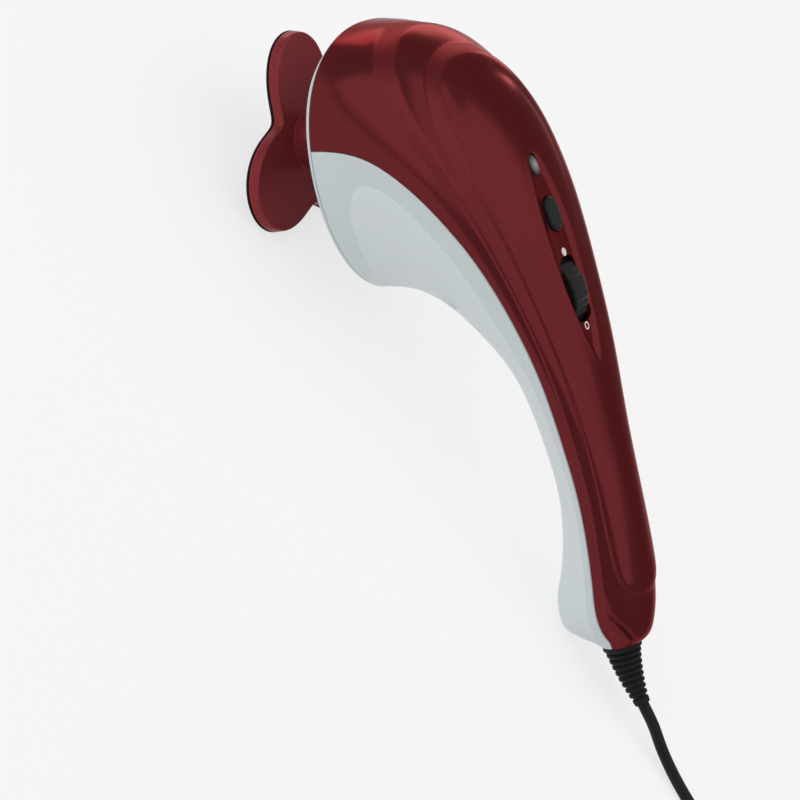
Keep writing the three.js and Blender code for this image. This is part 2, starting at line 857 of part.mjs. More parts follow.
// A strap over the motor's back, as an omega outline run along the motor
function motorStrap(offset) {
  const inner = motorRadius + gap;
  const outer = inner + strapThickness;
  const foot = saddleSeat - gap - motorAxis;
  const reach = saddleSpan;
  const shape = new THREE.Shape();
  shape.moveTo(-reach, foot);
  shape.lineTo(-reach, foot - strapThickness);
  shape.lineTo(-outer, foot - strapThickness);
  shape.lineTo(-outer, 0);
  shape.absarc(0, 0, outer, Math.PI, 2 * Math.PI);
  shape.lineTo(outer, foot - strapThickness);
  shape.lineTo(reach, foot - strapThickness);
  shape.lineTo(reach, foot);
  shape.lineTo(inner, foot);
  shape.lineTo(inner, 0);
  shape.absarc(0, 0, inner, 2 * Math.PI, Math.PI, true);
  shape.lineTo(-inner, foot);
  const across = basis(sideways, new THREE.Vector3(0, 0, 1), new THREE.Vector3(1, 0, 0), new THREE.Vector3());
  const start = saddleStart(offset);
  const strap = placed(prism(shape, start, start + saddleWidth, 12), across);
  const bores = strapScrewPlaces.map(([x, y]) =>
    rod(screwHole, -motorRadius, motorRadius + overrun, screwSides).translate(x, y, 0),
  );
  return cut(strap, ...bores).translate(0, 0, motorAxis);
}

// Crank at its lowest point: the cam's middle stands one offset behind the motor's axis
const camAxis = motorAxis - crankOffset;
const alongShaft = (geometry, height) => geometry.rotateY(Math.PI / 2).translate(0, 0, height);
const cam = () =>
  cut(
    alongShaft(rod(camRadius, -camLength / 2, camLength / 2, 24), camAxis),
    alongShaft(rod(motorShaftRadius + gap, -camLength, camLength, 16), motorAxis),
  );
const camBearing = () =>
  alongShaft(tube(bearingRadius, camRadius + gap, -bearingWidth / 2, bearingWidth / 2), camAxis);
const motorShaft = () =>
  alongShaft(rod(motorShaftRadius, gap - motorStart - motorBoreDepth, motorShaftReach, 16), motorAxis);
const motorEndcap = () =>
  alongShaft(
    turned(
      [
        [0, motorFrom - gap - endcapLength],
        [motorRadius * endcapNoseShare, motorFrom - gap - endcapLength],
        [motorRadius, motorFrom - gap - endcapLength * endcapShoulderShare],
        [motorRadius, motorFrom - gap],
        [0, motorFrom - gap],
      ],
      28,
    ),
    motorAxis,
  );

// Massage head: outline of three lobes about the post, one of them up, with a shallow web between the other two
function lobeRing(grow, height, share = 1) {
  return Array.from({ length: lobeSteps }, (_, i) => {
    const angle = (i * 2 * Math.PI) / lobeSteps;
    const swing = lobeSwing * Math.cos(lobeCount * angle) - lobeBluntness * Math.cos(2 * lobeCount * angle);
    const drop = lobeDrop * Math.cos(angle);
    const fill = webFill * Math.cos(2 * angle);
    const radius = (lobeMeanRadius + swing - drop + fill + grow) * share;
    return new THREE.Vector3(radius * Math.cos(angle), radius * Math.sin(angle), height);
  });
}
const plateTop = plateHeight + plateThickness;

function headPlate() {
  const plate = loft([
    lobeRing(-plateEdgeRound, plateHeight),
    lobeRing(0, plateHeight + plateEdgeRound),
    lobeRing(plateFlare, plateTop - plateEdgeRound),
    lobeRing(plateFlare, plateTop),
  ]);
  const socket = rod(socketRadius + socketWall, socketBottom, plateHeight + plateEdgeRound, 32);
  return cut(join(plate, socket), rod(socketRadius, socketBottom - overrun, postTop + pinProud + gap, 32));
}

function headPad() {
  const foot = plateTop + gap;
  const crown = Array.from({ length: padSteps }, (_, i) => {
    const share = 1 - (i + 1) / (padSteps + 1);
    return lobeRing(padOverhang, foot + padRim + padDome * Math.sqrt(1 - share ** 2), share);
  });
  return loft([lobeRing(padOverhang, foot), lobeRing(padOverhang, foot + padRim), ...crown]);
}

// Controls
const buttonFlangeTop = -wall - 2 * gap;
const buttonFlangeBottom = buttonFlangeTop - buttonFlangeThickness;
const switchTop = boardTop + gap + switchHeight;

function heatButton() {
  const top = buttonProud - recessDepth;
  const body = prism(stadium(buttonLength, buttonWidth), buttonFlangeTop, top);
  const flange = prism(
    stadium(buttonLength + 2 * buttonFlangeReach, buttonWidth + 2 * buttonFlangeReach),
    buttonFlangeBottom,
    buttonFlangeTop,
  );
  return join(body, flange, rod(buttonStemRadius, switchTop - gap / 2, buttonFlangeBottom + gap, 12));
}
const heatSwitch = () =>
  cut(
    block(
      [-switchSize / 2, switchSize / 2],
      [-switchSize / 2, switchSize / 2],
      [boardTop + gap, switchTop],
    ),
    rod(buttonStemRadius + gap, switchTop - 2 * gap - buttonTravel, switchTop + overrun, 12),
  );

function speedWheel() {
  const teeth = Array.from({ length: 4 * wheelTeeth }, (_, i) => {
    const angle = (i * Math.PI) / (2 * wheelTeeth);
    const radius = wheelRadius - (i % 4 < 2 ? 0 : toothDepth);
    return new THREE.Vector2(radius * Math.cos(angle), radius * Math.sin(angle));
  });
  const disc = prism(new THREE.Shape(teeth), -wheelThickness / 2, wheelThickness / 2);
  return cut(disc, rod(axleRadius + gap, -wheelThickness, wheelThickness, 16))
    .rotateX(-Math.PI / 2)
    .translate(0, 0, -wheelAxisDepth);
}
const speedMeter = () => {
  const near = cheekInner + cheekThickness + gap;
  const body = block(
    [-meterSize / 2, meterSize / 2],
    [near, near + meterThickness],
    [-wheelAxisDepth - meterSize / 2, -wheelAxisDepth + meterSize / 2],
  );
  return cut(body, axleRod(axleRadius + gap, overrun));
};
const controlBoard = () =>
  cut(
    block(
      [-boardLength / 2, boardLength / 2],
      [-boardWidth / 2, boardWidth / 2],
      [boardBottom, boardTop],
    ),
    ...boardBossPlaces.map(([x, y]) =>
      rod(screwHole, boardBottom - overrun, boardTop + overrun, screwSides).translate(x, y, 0),
    ),
  );

// Lead inside the body, from the relief through the clamp and past the wheel to the board
const toWorld = (x, y, z, frame) => new THREE.Vector3(x, y, z).applyMatrix4(frame);
const inside = (share, across, rise) => toWorld(0, 0, 0, insideFrame(share, across, rise));
const wheelSide = wheelThickness / 2 + cordRadius + 2 * cheekGap;

function sweep(points, radius, sides, steps) {
  const path = new THREE.CatmullRomCurve3(points);
  const circle = new THREE.Shape();
  circle.absarc(0, 0, radius, 0, 2 * Math.PI);
  const outline = new THREE.Shape(circle.getSpacedPoints(sides).slice(0, -1));
  return new THREE.ExtrudeGeometry(outline, { steps, extrudePath: path, bevelEnabled: false });
}

function innerLead() {
  const end = boardBottom - gap;
  return sweep(
    [
      toWorld(0, 0, -neckLength - flangeLength - 2 * gap, tailFrame),
      toWorld(0, 0, -neckLength - flangeLength - clampLength, tailFrame),
      toWorld(clampLength, 0, 0, clampFrame()),
      toWorld(0, 0, 0, clampFrame()),
      toWorld(-clampLength, 0, 0, clampFrame()),
      ...innerLeadPlaceShares.map(([share, rise]) => inside(share, -wheelSide, rise * cordRadius)),
      toWorld(0, -boardWidth / 4, end - boardLanding, boardFrame),
      toWorld(0, -boardWidth / 4, end, boardFrame),
    ],
    cordRadius,
    cordSides,
    26,
  );
}
function motorLead() {
  const end = motorRadius + gap;
  const landing = motorFrom - gap - endcapLength / 4;
  return sweep(
    [
      toWorld(0, boardWidth / 3, boardBottom - gap, boardFrame),
      toWorld(0, boardWidth / 3, boardBottom - motorLeadDrop, boardFrame),
      toWorld(landing, end, motorAxis - motorRadius, headFrame),
      toWorld(landing, end + motorLeadLoop, motorAxis, headFrame),
      toWorld(landing, end, motorAxis, headFrame),
    ],
    motorLeadRadius,
    cordSides,
    14,
  );
}
function cordClamp() {
  const bar = block(
    [-clampLength / 2, clampLength / 2],
    [-clampWidth / 2, clampWidth / 2],
    [0, clampThickness],
  );
  return cut(
    bar,
    rod(cordRadius + gap, -clampLength, clampLength, 12).rotateY(Math.PI / 2),
    ...[-1, 1].map((turn) =>
      rod(screwHole, -overrun, clampThickness + overrun, screwSides).translate(
        0,
        (turn * clampScrewSpacing) / 2,
        0,
      ),
    ),
  );
}

// Bend relief: its axis leaves square to the tail and turns steadily towards the floor's plane
function reliefPlace(distance) {
  if (distance < 0) return { forward: distance, lift: 0, heading: 0 };
  const heading = (reliefTurn * distance) / reliefLength;
  const bend = reliefLength / reliefTurn;
  return { forward: bend * Math.sin(heading), lift: bend * (1 - Math.cos(heading)), heading };
}
function reliefRing(distance, radius) {
  const { forward, lift, heading } = reliefPlace(distance);
  return Array.from({ length: reliefSides }, (_, i) => {
    const angle = (i * 2 * Math.PI) / reliefSides;
    const out = radius * Math.cos(angle);
    return new THREE.Vector3(
      -lift - out * Math.cos(heading),
      radius * Math.sin(angle),
      gap + forward - out * Math.sin(heading),
    );
  });
}
function strainRelief() {
  const ribPitch = (reliefLength - collarLength) / ribCount;
  const profile = [
    [-neckLength - flangeLength - gap, flangeRadius],
    [-neckLength - gap, flangeRadius],
    [-neckLength - gap, neckRadius],
    [0, neckRadius],
    [0, collarRadius],
    [collarLength - ribPitch * (1 - ribShare), collarRadius],
  ];
  for (let i = 0; i < ribCount; i += 1) {
    const start = collarLength + i * ribPitch;
    const crest = ribRadius + ((reliefTipRadius - ribRadius) * i) / (ribCount - 1);
    const groove = crest - ribGroove * (1 - i / (2 * ribCount));
    profile.push([start - ribPitch * (1 - ribShare), groove]);
    profile.push([start, groove]);
    profile.push([start, crest]);
    profile.push([start + ribPitch * ribShare, crest]);
  }
  profile[profile.length - 1][0] = reliefLength;
  return loft(profile.map(([distance, radius]) => reliefRing(distance, radius)));
}

// Scene graph of the body
const object = new THREE.Group();
function put(parent, name, geometry, finish) {
  const mesh = new THREE.Mesh(outward(geometry), new THREE.MeshStandardMaterial(finishes[finish]));
  mesh.name = name;
  parent.add(mesh);
}
function groupIn(parent, frame) {
  const group = new THREE.Group();
  group.applyMatrix4(frame);
  parent.add(group);
  return group;
}

put(object, "top_shell", topShell(), "maroon");
put(object, "bottom_shell", bottomShell(), "silver");
housingScrews.forEach(({ frame, seat }, i) => {
  const spot = groupIn(object, frame.clone().multiply(new THREE.Matrix4().makeTranslation(0, 0, seat - gap)));
  put(spot, `housing_screw_${i + 1}`, screw(screwGrip - seat), "steel");
});
put(object, "inner_lead", innerLead(), "blackRubber");
put(object, "motor_lead", motorLead(), "blackRubber");

const head = groupIn(object, headFrame);
put(head, "face_ring", faceRing(), "silver");
put(head, "face_cover", faceCover(), "silver");
put(head, "post_seal", postSeal(), "blackRubber");
put(head, "drive_chassis", driveChassis(), "whiteNylon");
chassisScrewPlaces.forEach((p, i) => {
  const place = screw(chassisScrewLength).rotateX(Math.PI).translate(p.x, p.y, chassisScrewSeat + gap / 2);
  put(head, `chassis_screw_${i + 1}`, place, "steel");
});
put(head, "guide_bush_1", guideBush(true), "brass");
put(head, "guide_bush_2", guideBush(false), "brass");
put(head, "motor_can", motorCan(), "steel");
put(head, "motor_endcap", motorEndcap(), "blackPlastic");
saddleOffsets.forEach((offset, i) => put(head, `motor_strap_${i + 1}`, motorStrap(offset), "steel"));
strapScrewPlaces.forEach(([x, y], i) => {
  const seat = saddleSeat - strapThickness - 2 * gap;
  put(head, `strap_screw_${i + 1}`, screw(smallScrewLength).translate(x, y, seat), "steel");
});
put(head, "motor_shaft", motorShaft(), "steel");
put(head, "eccentric_cam", cam(), "blackPlastic");
put(head, "cam_bearing", camBearing(), "steel");
put(head, "drive_yoke", driveYoke(), "whiteNylon");
put(head, "plunger_shaft", rod(shaftRadius, shaftBottom, shaftTop), "steel");
put(head, "attachment_post", attachmentPost(), "blackPlastic");
put(head, "post_ring", postRing(), "blackRubber");
[-1, 1].forEach((turn, i) => {
  const pin = rod(pinRadius, pinBottom, postTop + pinProud, 12).translate(0, pinPlace(turn), 0);
  put(head, `contact_pin_${i + 1}`, pin, "brass");
});
put(head, "head_plate", headPlate(), "maroon");
put(head, "head_pad", headPad(), "blackRubber");

const lensSpot = groupIn(object, lensFrame);
const lens = prism(stadium(lensLength - gap, lensWidth - gap), -lensDepth, -recessDepth + gap);
put(lensSpot, "led_lens", lens, "lens");
const boardSpot = groupIn(object, boardFrame);
put(boardSpot, "control_board", controlBoard(), "board");
boardBossPlaces.forEach(([x, y], i) => {
  const place = screw(smallScrewLength - 2 * screwClearance).translate(x, y, boardBottom - gap);
  put(boardSpot, `board_screw_${i + 1}`, place, "steel");
});
const toBoard = boardFrame.clone().invert();
const ledPlace = toWorld(0, 0, 0, lensFrame).applyMatrix4(toBoard);
put(
  boardSpot,
  "led",
  rod(ledRadius, boardTop + gap, ledPlace.z - lensDepth - gap, 12).translate(ledPlace.x, 0, 0),
  "whiteNylon",
);
const buttonSpot = groupIn(object, buttonFrame);
put(buttonSpot, "heat_button", heatButton(), "blackPlastic");
put(buttonSpot, "heat_switch", heatSwitch(), "blackPlastic");
const wheelSpot = groupIn(object, wheelFrame);
put(wheelSpot, "speed_wheel", speedWheel(), "blackPlastic");
put(wheelSpot, "wheel_axle", axleRod(axleRadius, 0), "steel");
put(wheelSpot, "speed_control", speedMeter(), "blackPlastic");

const tailSpot = groupIn(object, tailFrame);
put(tailSpot, "strain_relief", strainRelief(), "blackRubber");
const clampSpot = groupIn(object, clampFrame());
put(clampSpot, "cord_clamp", cordClamp(), "blackPlastic");
[-1, 1].forEach((turn, i) => {
  const place = screw(smallScrewLength)
    .rotateX(Math.PI)
    .translate(0, (turn * clampScrewSpacing) / 2, clampThickness + gap);
  put(clampSpot, `clamp_screw_${i + 1}`, place, "steel");
});

// The origin goes to the middle of the body's footprint, on the floor
object.updateMatrixWorld(true);
const box = new THREE.Box3().setFromObject(object, true);
const home = new THREE.Vector3(-(box.min.x + box.max.x) / 2, -(box.min.y + box.max.y) / 2, -box.min.z);
object.position.copy(home);

// Cord: out of the relief, down to the floor, into the coil
const tip = reliefPlace(reliefLength);
const exit = toWorld(-tip.lift, 0, gap + tip.forward, tailFrame).add(home);
const exitHeading = toWorld(-Math.sin(tip.heading), 0, Math.cos(tip.heading), tailFrame).sub(tailCentre);
const cordStart = exit.clone().addScaledVector(exitHeading, gap);
const coilCentre = new THREE.Vector3(exit.x + coilPlace[0], coilPlace[1], cordRadius);
const outerRadius = coilInnerRadius + coilPitch * coilTurnsIn;
const coilEntry = new THREE.Vector3(coilCentre.x, coilCentre.y + outerRadius, cordRadius);

function powerCord() {
  const laid = freeStretch.map(([x, y, z]) => new THREE.Vector3(exit.x + x, y, z));
  const last = coilEntry.clone().sub(new THREE.Vector3(2 * cordRadius + gap, 0, 0));
  return sweep(
    [cordStart, cordStart.clone().addScaledVector(exitHeading, cordRun), ...laid, last],
    cordRadius,
    cordSides,
    14,
  );
}

// Coil: in on the floor, up one layer in the half turn where it reverses, and out again on top
function coilRoute() {
  const stations = [];
  const climb = Math.PI / 2;
  const from = -coilTurnsIn * 2 * Math.PI;
  const to = coilTurnsOut * 2 * Math.PI;
  const steps = Math.round((coilTurnsIn + coilTurnsOut) * coilStepsPerTurn);
  for (let i = 0; i <= steps; i += 1) {
    const turn = from + ((to - from) * i) / steps;
    const radius = coilInnerRadius + (coilPitch * Math.abs(turn)) / (2 * Math.PI);
    const level = THREE.MathUtils.smoothstep(turn, -climb, climb);
    const angle = Math.PI / 2 - (turn - from);
    stations.push(
      new THREE.Vector3(
        coilCentre.x + radius * Math.cos(angle),
        coilCentre.y + radius * Math.sin(angle),
        cordRadius + level * coilPitch,
      ),
    );
  }
  const first = stations[0].clone().sub(new THREE.Vector3(2 * cordRadius, 0, 0));
  const final = stations[stations.length - 1];
  const leave = final.clone().sub(new THREE.Vector3(coilTail, 0, 0));
  const middle = final.clone().lerp(leave, 0.5);
  return [first, ...stations, middle, leave];
}

// A tube through stations, each ring square to the way between its neighbours
function tubeThrough(stations, radius, sides) {
  const rings = stations.map((at, i) => {
    const before = stations[Math.max(i - 1, 0)];
    const after = stations[Math.min(i + 1, stations.length - 1)];
    const along = after.clone().sub(before).normalize();
    const side = new THREE.Vector3(0, 0, 1).cross(along).normalize();
    const upward = along.clone().cross(side);
    return Array.from({ length: sides }, (_, j) => {
      const angle = (j * 2 * Math.PI) / sides;
      return at
        .clone()
        .addScaledVector(side, radius * Math.cos(angle))
        .addScaledVector(upward, radius * Math.sin(angle));
    });
  });
  return loft(rings);
}

// The least gap of the coil to itself, between points more than half a turn apart
function leastGap(stations) {
  let least = Infinity;
  stations.forEach((a, i) => {
    for (let j = i + coilStepsPerTurn / 2; j < stations.length; j += 1) {
      least = Math.min(least, a.distanceTo(stations[j]));
    }
  });
  return least - 2 * cordRadius;
}
const route = coilRoute();
console.log("coil: least gap to itself", leastGap(route).toFixed(2), "mm");

const leadEnd = route[route.length - 1];
const plugFrame = basis(
  new THREE.Vector3(0, 0, 1),
  sideways,
  new THREE.Vector3(-1, 0, 0),
  new THREE.Vector3(leadEnd.x - gap, leadEnd.y, leadEnd.z),
);

// Plug along its local z: a round tail that widens into a flat moulded body with two blade slots
function plugBody() {
  const ringOf = (height, halfHeight, halfWidth) =>
    Array.from({ length: plugSides }, (_, i) => {
      const angle = (i * 2 * Math.PI) / plugSides;
      const power = halfHeight === halfWidth ? 1 : plugCornerPower;
      const bulged = (value) => Math.sign(value) * Math.abs(value) ** power;
      return new THREE.Vector3(
        halfHeight * bulged(Math.cos(angle)),
        halfWidth * bulged(Math.sin(angle)),
        height,
      );
    });
  const shoulder = plugTailLength + plugLength * (1 - plugShoulderShare);
  const end = plugTailLength + plugLength;
  const body = loft([
    ringOf(0, plugTailRadius, plugTailRadius),
    ringOf(plugTailLength, plugNeckRadius, plugNeckRadius),
    ringOf(shoulder, plugHeight / 2, plugWidth / 2),
    ringOf(end - plugEdgeRound, plugHeight / 2, plugWidth / 2),
    ringOf(end, plugHeight / 2 - plugEdgeInset, plugWidth / 2 - plugEdgeInset),
  ]);
  return cut(body, ...[-1, 1].map((turn) => blade(turn, gap, bladeRoot, 0)));
}
function blade(turn, extra, depth, reach) {
  const end = plugTailLength + plugLength;
  const middle = (turn * bladeSpacing) / 2;
  return block(
    [-bladeWidth / 2 - extra, bladeWidth / 2 + extra],
    [middle - bladeThickness / 2 - extra, middle + bladeThickness / 2 + extra],
    [end - depth - extra, end + reach + extra * overrun],
  );
}

const laidCord = new THREE.Group();
put(laidCord, "power_cord", powerCord(), "blackRubber");
put(laidCord, "cord_coil", tubeThrough(route, cordRadius, coilSides), "blackRubber");
const plug = groupIn(laidCord, plugFrame);
put(plug, "plug_body", plugBody(), "blackRubber");
[-1, 1].forEach((turn, i) => {
  put(plug, `plug_blade_${i + 1}`, blade(turn, 0, bladeRoot, bladeLength), "brass");
});

const massager = new THREE.Group();
massager.add(object, laidCord);

export default massager;
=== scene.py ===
"""A handheld hot and cold massager on a pale studio floor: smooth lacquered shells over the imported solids,
rubber head pad and bend relief, ribbed speed wheel, and a mains lead put away in a coil."""
import math
from collections import namedtuple

import bmesh
import bpy
import numpy as np
from mathutils import Matrix, Vector
from mathutils.kdtree import KDTree


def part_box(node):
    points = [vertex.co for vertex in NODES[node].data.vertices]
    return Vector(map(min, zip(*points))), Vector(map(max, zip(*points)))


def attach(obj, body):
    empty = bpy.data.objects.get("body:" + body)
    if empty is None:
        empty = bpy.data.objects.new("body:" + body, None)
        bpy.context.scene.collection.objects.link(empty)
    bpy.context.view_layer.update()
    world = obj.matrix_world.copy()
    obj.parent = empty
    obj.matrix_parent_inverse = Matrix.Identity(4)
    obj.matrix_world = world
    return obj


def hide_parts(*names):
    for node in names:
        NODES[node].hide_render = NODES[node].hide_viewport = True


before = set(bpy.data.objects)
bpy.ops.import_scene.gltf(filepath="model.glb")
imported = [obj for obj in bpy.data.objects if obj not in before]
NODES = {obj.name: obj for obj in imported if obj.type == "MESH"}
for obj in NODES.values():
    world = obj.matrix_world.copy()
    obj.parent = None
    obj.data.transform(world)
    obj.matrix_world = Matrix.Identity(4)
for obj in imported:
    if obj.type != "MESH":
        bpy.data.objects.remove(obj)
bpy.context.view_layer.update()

bl_info = {
    "name": "Hot and cold massager",
    "version": (1, 0, 0),
    "blender": (4, 5, 0),
    "location": "3D View > Sidebar > Massager",
    "description": "Builds the shells, head, controls and lead of a handheld massager, and its studio",
    "category": "Object",
}

MM = 0.001
GAP = 0.3 * MM
WALL = 2.5 * MM
OVERRUN = 6 * MM

# Body: where its profile starts in the row frame, its size, and places along it as shares of that size:
# x and z of the top profile, x and z of the belly profile, the seam's place between them, and the width
BODY_START = Vector((-155.771 * MM, 0, 0.085 * MM))
BODY_LENGTH = 310 * MM
BODY_HEIGHT = 124 * MM
HEAD_WIDTH = 115 * MM
CROWN_POWER = 2.24
KEEL_POWER = 1.92
STATIONS = np.array([
    (0.0, 0.714, 0.338, 0.18, 0.406, 0.995),
    (0.035, 0.819, 0.344, 0.21, 0.399, 1.001),
    (0.098, 0.931, 0.352, 0.246, 0.389, 0.974),
    (0.182, 0.994, 0.363, 0.282, 0.384, 0.925),
    (0.257, 0.998, 0.377, 0.323, 0.374, 0.877),
    (0.326, 0.97, 0.397, 0.363, 0.353, 0.828),
    (0.386, 0.931, 0.423, 0.402, 0.333, 0.775),
    (0.494, 0.844, 0.485, 0.448, 0.321, 0.658),
    (0.6, 0.756, 0.56, 0.466, 0.379, 0.536),
    (0.705, 0.654, 0.66, 0.402, 0.453, 0.424),
    (0.808, 0.547, 0.757, 0.297, 0.463, 0.379),
    (0.901, 0.435, 0.841, 0.127, 0.405, 0.386),
    (0.933, 0.385, 0.869, 0.052, 0.38, 0.37),
    (0.957, 0.347, 0.9, 0.005, 0.374, 0.328),
    (0.975, 0.313, 0.918, 0.003, 0.385, 0.262),
    (0.987, 0.276, 0.94, 0.044, 0.419, 0.205),
    (0.99, 0.238, 0.963, 0.087, 0.5, 0.172),
])

# Lines on the shells, from the middle of the top (or of the belly) round the near side: station share and
# angle in degrees, where 90 is the top, 180 the seam on the near side and 270 the belly
OUTER_BAND_START = [
    (0.055, 90), (0.0625, 98), (0.0745, 113.5), (0.08, 121.8), (0.087, 128.6), (0.099, 135.6), (0.12, 144.8),
    (0.14, 151), (0.164, 156.5), (0.194, 160.2), (0.25, 162), (0.35, 162.6), (0.44, 163.2), (0.52, 164.2),
    (0.6, 166), (0.66, 168.2), (0.72, 169.5), (0.82, 171), (1.0, 172),
]
OUTER_BAND_END = [
    (0.0865, 90), (0.0895, 98), (0.0955, 107.6), (0.107, 118.8), (0.124, 131.7), (0.142, 140.6), (0.159, 145.2),
    (0.187, 149.8), (0.224, 153.4), (0.28, 156.8), (0.35, 159.4), (0.44, 160.8), (0.52, 161.8), (0.6, 163.2),
    (0.66, 165), (0.72, 166), (0.82, 166.5), (0.88, 162), (0.94, 146), (1.0, 112),
]
INNER_BAND_START = [
    (0.13, 90), (0.1315, 98), (0.136, 107.4), (0.145, 117.7), (0.1605, 128.5), (0.179, 136), (0.201, 141.8),
    (0.2365, 145.8), (0.29, 146.6), (0.35, 145.6), (0.41, 144.6), (0.46, 144.6), (0.52, 145.4), (0.57, 147),
    (0.6, 149), (0.63, 150.4), (0.66, 148.6), (0.69, 141.5), (0.72, 129), (0.74, 113), (0.748, 90),
]
INNER_BAND_END = [
    (0.15, 90), (0.1515, 98), (0.1545, 108), (0.172, 122), (0.192, 129), (0.217, 134.6), (0.2526, 138.6),
    (0.3, 140.8), (0.35, 141.4), (0.41, 141.4), (0.46, 141.8), (0.52, 142.6), (0.57, 144.2), (0.6, 146),
    (0.63, 147.2), (0.655, 145), (0.682, 138), (0.708, 126), (0.727, 110), (0.734, 90),
]
RECESS_EDGE = [
    (0.2895, 90), (0.2935, 92.8), (0.3003, 94.8), (0.318, 96.8), (0.339, 98.5), (0.381, 101.8), (0.413, 103.1),
    (0.44, 102.7), (0.469, 100.2), (0.489, 96.2), (0.5, 92.9), (0.5045, 90),
]
RECESS_REACH = 15 * MM
RECESS_LIP = (0.22, 0.5 * MM, 0.9 * MM)  # share of the recess's depth, place outside the edge and half width
RIDGE_DROP = (0.18, 0.22)  # where the ridges start to sink to the handle's height, and over which share
RIDGE_END = (0.69, 0.16)
LINE_POINTS = 2600
NEAR_LINE = 4 * MM
INNER_COLUMNS = 26
SEAM_CROWDING = 0.35
SHELL_CREASE = 38.0
BAND_SOFTNESS = 0.9 * MM
GRIP_SOFTNESS = 0.4 * MM
GRIP_SLOPE = 1.6 * MM
GRIP_FADE = 12 * MM
GRIP_EDGE = [
    (0.06, 270), (0.073, 257), (0.086, 245), (0.0935, 232), (0.0925, 220), (0.0898, 210.5), (0.0918, 202),
    (0.098, 197), (0.108, 193), (0.131, 189.7), (0.157, 188.8), (0.192, 188.6), (0.23, 189.1), (0.274, 190.2),
    (0.319, 191), (0.364, 192.2), (0.4075, 194.3), (0.437, 195.8), (0.47, 196), (0.52, 194), (0.56, 191.8),
    (0.608, 190), (0.65, 189.4), (0.7, 189), (0.8, 189), (0.86, 190), (0.9, 193), (0.93, 202), (0.942, 225),
    (0.947, 270),
]

# Face of the head
RING_PROUD = 2 * MM
RING_CROWN_PROUD = 0.4 * MM
RING_RAMP = (118, 152)
LIP_DEPTH = 5 * MM
LIP_WALL = 1.6 * MM
LIP_TAPER = 1 * MM
COVER_WALL = 2.2 * MM
COVER_EDGE = 0.6 * MM
COVER_RISE = 13.4 * MM
COVER_STEPS = 26
SEAL_RADIUS = 18.5 * MM
SEAL_DEPTH = 3.4 * MM
SEAL_WAVE = 0.7 * MM
SEAL_WAVES = 3
SLEEVE_WALL = 1.8 * MM
SLEEVE_RISE = 3.1 * MM
SLEEVE_EASE = 0.4 * MM
POST_OFFSET_SHARE = 0.0557
POST_RADIUS = 10.5 * MM
POST_BORE = 6.3 * MM
POST_ENDS = (18.5 * MM, 35 * MM)
POST_BORE_END = 29.3 * MM
GROOVE_DEPTH = 2 * MM
GROOVE_ENDS = (28.7 * MM, 31.3 * MM)
PIN_PLACE = 5 * MM
PIN_BORE = 3 * MM
PIN_BOTTOM = 30.9 * MM
SHAFT_RADIUS = 6 * MM

# Massage head, heights from the plane of the head's rim along the post
LOBE_MEAN = 39.3 * MM
LOBE_SWING = 12.8 * MM
LOBE_BLUNTNESS = 1 * MM
LOBE_DROP = 2.3 * MM
WEB_FILL = 2.3 * MM
LOBES = 3
OUTLINE_POINTS = 240
PLATE_HEIGHT = 39.4 * MM
PLATE_TOP = 44.7 * MM
SOCKET_BOTTOM = 21 * MM
SOCKET_TOP = 36.1 * MM
SOCKET_RADIUS = 10.8 * MM
SOCKET_WALL = 2.6 * MM
SOCKET_FILLET = 0.5 * MM
PAD_OVERHANG = 0.7 * MM
PAD_RIM = 0.8 * MM
PAD_DOME = 6 * MM
PAD_BLUNTNESS = 0.8
PAD_STEPS = 30
SEWN_PLACE = 0.72
SEWN_WIDTH = 0.03
SEWN_DEPTH = 0.7 * MM

# Controls: place of each as a share of the body's length from the head's edge
LENS_SHARE = 0.321
BUTTON_SHARE = 0.3935
WHEEL_SHARE = 0.5013
NEAR_MARK_SHARE = 0.4484
FAR_MARK_SHARE = 0.5548
LENS_LENGTH = 9.9 * MM
LENS_WIDTH = 5.9 * MM
LENS_RISE = 1.1 * MM
LENS_FOOT = -4 * MM
LENS_PAINTED_GLOW_REACH = 4 * MM
KEY_LENGTH = 16.2 * MM
KEY_WIDTH = 11 * MM
KEY_PROUD = 0.6 * MM
KEY_FLANGE = (18.6 * MM, 13.4 * MM)
KEY_FLANGE_ENDS = (-4.6 * MM, -3.1 * MM)
KEY_STEM_RADIUS = 1.7 * MM
KEY_STEM_END = -6.6 * MM
WHEEL_RADIUS = 21 * MM
WHEEL_THICKNESS = 12.4 * MM
WHEEL_DEPTH = 19.2 * MM
WHEEL_BORE = 2.3 * MM
WHEEL_WEB = 6 * MM
TOOTH_DEPTH = 0.5 * MM
TOOTH_BLUNTNESS = 0.7
TOOTH_POINTS = 12
MARK_RADIUS = 1.9 * MM
RING_MARK_BORE = 1.15 * MM
MARK_SUNK = 0.1 * MM
MARK_PROUD = 0.07 * MM
LENS_OPENING = (10.5 * MM, 6.5 * MM)
KEY_OPENING = (16.8 * MM, 11.6 * MM)
WHEEL_OPENING = (30.5 * MM, 13.6 * MM, 4.6 * MM)
OPENING_DEPTH = 10 * MM
WHEEL_OPENING_DEPTH = 12 * MM
SCREW_PLACES = [(0.375, 0.6), (0.375, -0.6), (0.5125, 0), (0.65, 0)]
SCREW_WELL = 9 * MM
WELL_RADIUS = 3.3 * MM
PILLAR_RADIUS = 5.5 * MM
PILLAR_BORE = 1.8 * MM
PILLAR_START = 2.2 * MM
PILLAR_RISE = 6 * MM

